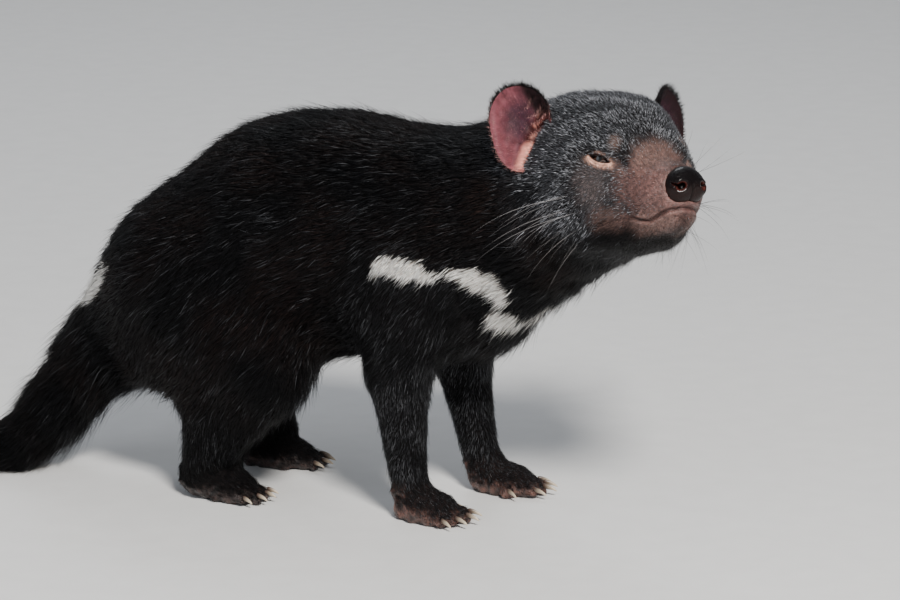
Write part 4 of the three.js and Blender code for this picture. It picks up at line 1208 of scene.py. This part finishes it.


# The coat's colours: black and charcoal grey with brown in places, glint hairs, the white marks and the pale face.
# The glint hairs are painted highlights and the grey is partly painted light; both fade where shade falls
def coatColours(root, tipAt, corners, shares):
    count = len(root)
    paintedGlint, brown, charcoalAndPaintedLight = (atRoots(coatValue(kind, 24), corners, shares)
                               for kind in ("paintedGlint", "brown", "charcoalAndPaintedLight"))
    # Painted shade: the glint hairs and the grey fade out low on the head and under the jaw, and on the ruff behind the
    # cheek, which is also browner
    lit = smoothStep(-44, -24, toHead(root)[:, 2]) + (toHead(root)[:, 0] < -125)
    inFace = toHead(root)
    ruff = smoothStep(-88, -112, inFace[:, 0]) * smoothStep(16, -8, inFace[:, 2]) * smoothStep(-185, -150, inFace[:, 0])
    lit = np.clip(lit, 0.1, 1) * (1 - 0.75 * ruff)
    paintedGlint, charcoalAndPaintedLight, brown = paintedGlint * lit, charcoalAndPaintedLight * lit, np.maximum(brown, 0.8 * ruff)
    place = root / mm
    patchy = np.clip(0.5 + 0.6 * waveNoise(place, 40, 31), 0, 1)
    # The charcoal grey mixed into the black is partly grey fur and partly painted light where the face is lit
    colour = mixed(srgb(coat["black"]), srgb(coat["charcoalAndPaintedLight"]), charcoalAndPaintedLight * random.uniform(0.5, 1, count))
    colour = mixed(colour, srgb(coat["brown"]), brown * patchy * random.random(count))
    colour = colour * random.lognormal(0, 0.4, count)[:, None]
    faceBright = random.uniform(0.5, 1.2, count)
    bodyBright = coat["glint"][0] + coat["glint"][1] * random.random(count) ** 3
    bright = bodyBright + (faceBright - bodyBright) * atRoots(spread(onHead, 20), corners, shares)
    # Glint hairs are painted highlights: brighter where they are many, along the whole hair on the face, mostly at the
    # tip on the body
    glint = srgb(coat["paintedGlint"]) * (bright * (1 + 1.6 * np.maximum(paintedGlint - 0.15, 0)))[:, None]
    glinting = random.random(count) < paintedGlint * (0.7 + 0.5 * waveNoise(place, 14, 33))
    onFace = atRoots(spread(onHead, 12), corners, shares)
    tipColour = mixed(colour * 1.25, glint * 1.25, glinting)
    colour = mixed(colour, glint, glinting * (0.3 + 0.7 * onFace))
    inHead = np.array([partNames[k] in headParts for k in corners[:, 0]], float)
    here = toHead(root)
    face, shown = paintFace(here, 1)
    face = face * random.lognormal(0.05, 0.5, count)[:, None]
    lids = np.clip(lidShares(here, -1)[0] + lidShares(here, 1)[0], 0, 1)
    chosen = random.random(count) < np.clip(1.15 * shown, 0, 0.8 + 0.2 * lids)
    faceShare = inHead * (here[:, 0] > -92) * (0.35 * shown + 0.65 * chosen * (shown > 0.02))
    white = random.random(count) < whiteAt((root + tipAt) / 2) * (1 - inHead)
    pale = srgb(coat["white"]) * random.uniform(0.85, 1.0, count)[:, None]
    return tuple(np.clip(mixed(mixed(part, face * tint, faceShare), pale, white), 0, 1)
                 for part, tint in ((colour, 1), (tipColour, 1.25)))


def growCoat():
    length, width, lift, dense = coatFields()
    ways = coatWay()
    corners, shares, uv = rootsOn(hidePiece, hideAt, dense, coat["tufts"])
    root = atRoots(hideAt, corners, shares)
    normal = unit(atRoots(hideNormal, corners, shares))
    way = atRoots(ways, corners, shares)
    count = len(root)
    length, width, lift = (atRoots(value, corners, shares) for value in (length, width, lift))
    length = length * random.uniform(0.65, 1.2, count)
    width = width * random.uniform(0.7, 1.25, count)
    bent = waveNoise(root / mm, 16, 21)
    lift = lift * random.uniform(0.35, 1.6, count) * (1 + 0.25 * waveNoise(root / mm, 11, 22))
    standing = random.random(count) < coat["standing"]
    lift = np.where(standing, lift + random.uniform(8, 26, count), lift)
    length = np.where(standing, length * random.uniform(1.0, 1.4, count), length)
    width = np.where(standing, width * 0.62, width)
    way = way + np.cross(normal, way) * (0.14 * bent + random.normal(0, 0.13, count))[:, None]
    way = unit(way - normal * (way * normal).sum(axis=1, keepdims=True))
    start, middle, tip, side = spindles(root, normal, way, length, width, lift, random.normal(0, 0.06, count))
    leaders = random.choice(count, count // coat["clump"], replace=False)
    near = nearestLeader(root, leaders)
    close = (np.linalg.norm(root[near] - root, axis=1) < 5 * mm) & ~standing
    pull = coat["pull"] * random.uniform(0.2, 1.2, count) * close * (1 - 0.7 * whiteAt(root))
    tip = tip + (tip[near] - tip) * pull[:, None]
    middle = middle + (middle[near] - middle) * (0.35 * pull)[:, None]
    colour, tipColour = coatColours(root, tip, corners, shares)
    labels = np.array(partNames, object)[corners[:, 0]]
    for group, parts in coatGroups.items():
        members = np.flatnonzero(np.isin(labels, parts))
        members = members[np.argsort(root[members, 0] + (0.5 if group.endswith("legs") else 0) * (root[members, 1] > 0))]
        pieces = max(1, math.ceil(len(members) / coat["perPiece"]))
        for number, rows in enumerate(np.array_split(members, pieces)):
            name = f"coat_{group}_{number + 1}"
            mesh = tuftMesh(name, start[rows], middle[rows], tip[rows], side[rows], width[rows], colour[rows],
                            tipColour[rows], uv[rows])
            newPiece(name, mesh, coatMaterial)
            print(name, len(rows))


def nearestLeader(root, leaders):
    from mathutils.kdtree import KDTree
    tree = KDTree(len(leaders))
    for index in leaders:
        tree.insert(root[index], int(index))
    tree.balance()
    return np.array([tree.find(place)[1] for place in root])


growCoat()
print("coat done")


# Hair of the ears: short and dark over the back and round the rim, fine and pale inside, their pale partly a painted
# highlight; on the left ear the inside hairs are darkened with painted shade
earHair = {"tufts": 9000, "back": "#0c0b0d", "inside": "#c08f8b", "rim": "#1b1213"}


def growEarHair(kind):
    shape = earShapes[kind]
    _, facing, _, _, _, canal = earAxes(kind)
    mesh = shape["piece"].data
    share, height, flat = shape["share"], shape["height"], shape["flat"]
    normals = np.empty(len(mesh.vertices) * 3)
    mesh.vertices.foreach_get("normal", normals)
    rim = smoothStep(0.8, 0.98, share)
    inside = smoothStep(-2, 2, height)
    outer = smoothStep(4, -14, flat[:, 0])
    headSide = smoothStep(10, 18, flat[:, 0]) * smoothStep(0, 8, flat[:, 1])
    headSide = np.maximum(headSide, smoothStep(9, 15, flat[:, 0] + 0.25 * flat[:, 1] - 2) * smoothStep(2, 9, flat[:, 1]))
    dense = (1 - inside) + inside * (0.3 + 0.3 * rim * outer + 1.3 * headSide)
    corners, shares, uv = rootsOn(shape["piece"], shape["at"], dense, earHair["tufts"])
    root = atRoots(shape["at"], corners, shares)
    normal = unit(atRoots(normals.reshape(-1, 3), corners, shares))
    count = len(root)
    within = atRoots(inside, corners, shares)
    dark = atRoots(headSide, corners, shares) + atRoots(rim * smoothStep(10, 26, flat[:, 1]), corners, shares)
    way = unit(root - fromHead(canal - 6 * facing)) + 0.15 * random.normal(size=(count, 3))
    way = unit(way - normal * (way * normal).sum(axis=1, keepdims=True))
    length = random.uniform(2.4, 5.2, count) * (1 + 0.5 * np.clip(dark, 0, 1))
    width = np.where(within > 0.5, 0.15 + 0.12 * np.clip(dark, 0, 1), 0.36)
    start, middle, tip, side = spindles(root, normal, way, length, width, random.uniform(6, 30, count),
                                        random.normal(0, 0.06, count))
    # The left ear's inside hairs are darkened with painted shade
    pale = mixed(srgb(earHair["inside"]), srgb(earHair["rim"]), np.clip(dark + (kind == "left") * 0.8, 0, 1))
    colour = mixed(srgb(earHair["back"]), pale, within) * random.lognormal(0, 0.3, count)[:, None]
    name = "coat_ear_" + kind
    colour = np.clip(colour, 0, 1)
    newPiece(name, tuftMesh(name, start, middle, tip, side, width, colour, colour, uv), coatMaterial)
    print(name, count)


for kind in ("right", "left"):
    growEarHair(kind)


# Whiskers. Per group, in the head's frame for its left side: where the roots start and end, the way and its
# spread, the lengths and the droop in mm, how many on each side, and the colour
whiskers = [
    {"from": (-46, 28, -2), "to": (-72, 45, -10), "way": (-0.78, 0.6, -0.12), "spread": 0.08,
     "length": (58, 100), "droop": 22, "count": 7, "colour": "#a9a6a7"},
    {"from": (-46, 28, -9), "to": (-74, 46, -22), "way": (-0.76, 0.58, -0.22), "spread": 0.08,
     "length": (54, 100), "droop": 20, "count": 9, "colour": "#a19e9f"},
    {"from": (-44, 28, -16), "to": (-66, 40, -30), "way": (-0.78, 0.5, -0.32), "spread": 0.12,
     "length": (40, 84), "droop": 16, "count": 9, "colour": "#8b8786"},
    {"from": (-80, 49, -12), "to": (-92, 50, -24), "way": (-0.8, 0.4, -0.45), "spread": 0.15,
     "length": (34, 60), "droop": 8, "count": 5, "colour": "#4a4748"},
    {"from": (-18, 13, -10), "to": (-30, 20, -16), "way": (0.35, 0.75, -0.3), "spread": 0.3,
     "length": (24, 44), "droop": 7, "count": 7, "colour": "#141112"},
    {"from": (-10, 5, -24), "to": (-30, 14, -38), "way": (0.45, 0.3, -0.8), "spread": 0.3,
     "length": (14, 36), "droop": 4, "count": 9, "colour": "#141112"},
    {"from": (-34, 12, -40), "to": (-64, 18, -46), "way": (-0.1, 0.2, -0.95), "spread": 0.3,
     "length": (8, 20), "droop": 2, "count": 10, "colour": "#141112"},
    {"from": (-20, 13, 4), "to": (-34, 17, 10), "way": (0.3, 0.7, 0.5), "spread": 0.25,
     "length": (20, 40), "droop": -4, "count": 4, "colour": "#1a1718", "sides": (1,)},
    {"from": (-54, 28, 29), "to": (-58, 31, 27), "way": (-0.3, 0.55, 0.8), "spread": 0.2,
     "length": (16, 28), "droop": 5, "count": 3, "colour": "#2a2626"},
]
whiskerShape = {"reach": 0.106, "sides": 4, "steps": 9, "thick": 0.3}


def makeWhiskers():
    skin = BVHTree.FromPolygons([Vector(place) for place in hideAt], [face.vertices for face in hideMesh.polygons])
    dice = np.random.default_rng(11)
    at, faces, colours = [], [], []
    sides, steps = whiskerShape["sides"], whiskerShape["steps"]
    for group in whiskers:
        for side in group.get("sides", (-1, 1)):
            for index in range(group["count"]):
                share = (index + dice.random()) / group["count"]
                start = np.array(group["from"], float) * (1 - share) + np.array(group["to"], float) * share
                start = (start + dice.normal(0, 1.8, 3)) * (1, side, 1)
                root = np.array(skin.find_nearest(Vector(fromHead(start)))[0])
                way = unit(np.array(group["way"]) * (1, side, 1) + dice.normal(0, group["spread"], 3))
                length = dice.uniform(*group["length"])
                bend = np.array((-0.3, -0.6 * side + 0.15 * dice.normal(), -1.0)) * group["droop"]
                along = np.linspace(0, 1, steps)[:, None]
                path = toHead(root[None]) + way * length * along + bend * along ** 2 * (0.6 + 0.4 * along)
                path = fromHead(path)
                over = max(0.5, *(np.abs(path[:, 1]) / whiskerShape["reach"]), *(path[:, 0] / 0.344))
                path = path[0] + (path - path[0]) * min(1, 0.97 / over ** 4)
                ahead = unit(np.gradient(path, axis=0))
                across = unit(np.cross(ahead, (0.31, 0.2, 0.93)))
                other = np.cross(ahead, across)
                thick = whiskerShape["thick"] * mm / 2 * (0.35 + 0.65 * min(1, length / 60))
                first = len(at) * 1
                for step in range(steps):
                    radius = thick * (1 - 0.9 * (step / (steps - 1)) ** 1.4)
                    for turned in range(sides):
                        angle = 2 * math.pi * turned / sides
                        at.append(path[step] + radius * (math.cos(angle) * across[step] + math.sin(angle) * other[step]))
                shade = srgb(group["colour"]) * dice.uniform(0.7, 1.2)
                colours.extend(shade * min(1, 0.3 + 2.5 * step / steps) for step in range(steps) for _ in range(sides))
                for step in range(steps - 1):
                    for turned in range(sides):
                        a = first + step * sides + turned
                        b = first + step * sides + (turned + 1) % sides
                        faces.append((a, b, b + sides, a + sides))
                faces.append(tuple(first + turned for turned in range(sides))[::-1])
                faces.append(tuple(first + (steps - 1) * sides + turned for turned in range(sides)))
    mesh = bpy.data.meshes.new("whiskers")
    mesh.from_pydata([Vector(place) for place in at], [], faces)
    setColours(mesh, "coatColour", np.clip(np.array(colours), 0, 1))
    newPiece("whiskers", mesh, coatMaterial)
    print("whiskers", len(faces))


makeWhiskers()


# Studio: a pale floor, one large key light from the front right, a soft fill and a rim light
def makeFloor():
    material, tree, shader = newMaterial("paleStudioFloor")
    place = addNode(tree, "ShaderNodeTexCoord").outputs["Object"]
    grain = addNode(tree, "ShaderNodeTexNoise", None, {"Vector": place, "Scale": 40.0, "Detail": 3.0})
    shade = addNode(tree, "ShaderNodeMapRange", None,
                    {"Value": grain.outputs["Fac"], "To Min": 0.74, "To Max": 0.82})
    rough = addNode(tree, "ShaderNodeCombineXYZ", None,
                    {0: shade.outputs["Result"], 1: shade.outputs["Result"], 2: shade.outputs["Result"]})
    tree.links.new(rough.outputs["Vector"], shader.inputs["Base Color"])
    shader.inputs["Roughness"].default_value = 0.8
    ground = bmesh.new()
    bmesh.ops.create_grid(ground, x_segments=1, y_segments=1, size=20)
    mesh = bpy.data.meshes.new("floor")
    ground.to_mesh(mesh)
    ground.free()
    floor = bpy.data.objects.new("floor", mesh)
    bpy.context.scene.collection.objects.link(floor)
    mesh.materials.append(material)


lights = {
    "key": {"at": (1.4, -1.8, 2.1), "size": 0.6, "power": 135, "tint": (1.0, 0.965, 0.91)},
    "fill": {"at": (-1.8, -2.2, 1.2), "size": 2.2, "power": 14, "tint": (0.86, 0.92, 1.0)},
    "rim": {"at": (-0.9, 1.9, 2.2), "size": 1.2, "power": 18, "tint": (0.92, 0.96, 1.0)},
}


def makeLights():
    for name, facts in lights.items():
        lamp = bpy.data.objects.new(name, bpy.data.lights.new(name, "AREA"))
        bpy.context.scene.collection.objects.link(lamp)
        lamp.data.shape = "DISK"
        lamp.data.size = facts["size"]
        lamp.data.energy = facts["power"]
        lamp.data.color = facts["tint"]
        lamp.location = facts["at"]
        lamp.rotation_mode = "QUATERNION"
        lamp.rotation_quaternion = (Vector((0.05, 0, 0.17)) - lamp.location).to_track_quat("-Z", "Y")
    world = bpy.data.worlds.new("studio")
    bpy.context.scene.world = world
    world.use_nodes = True
    world.node_tree.nodes["Background"].inputs["Color"].default_value = (0.8, 0.83, 0.88, 1)
    world.node_tree.nodes["Background"].inputs["Strength"].default_value = 0.34


makeFloor()
makeLights()
print("studio done")
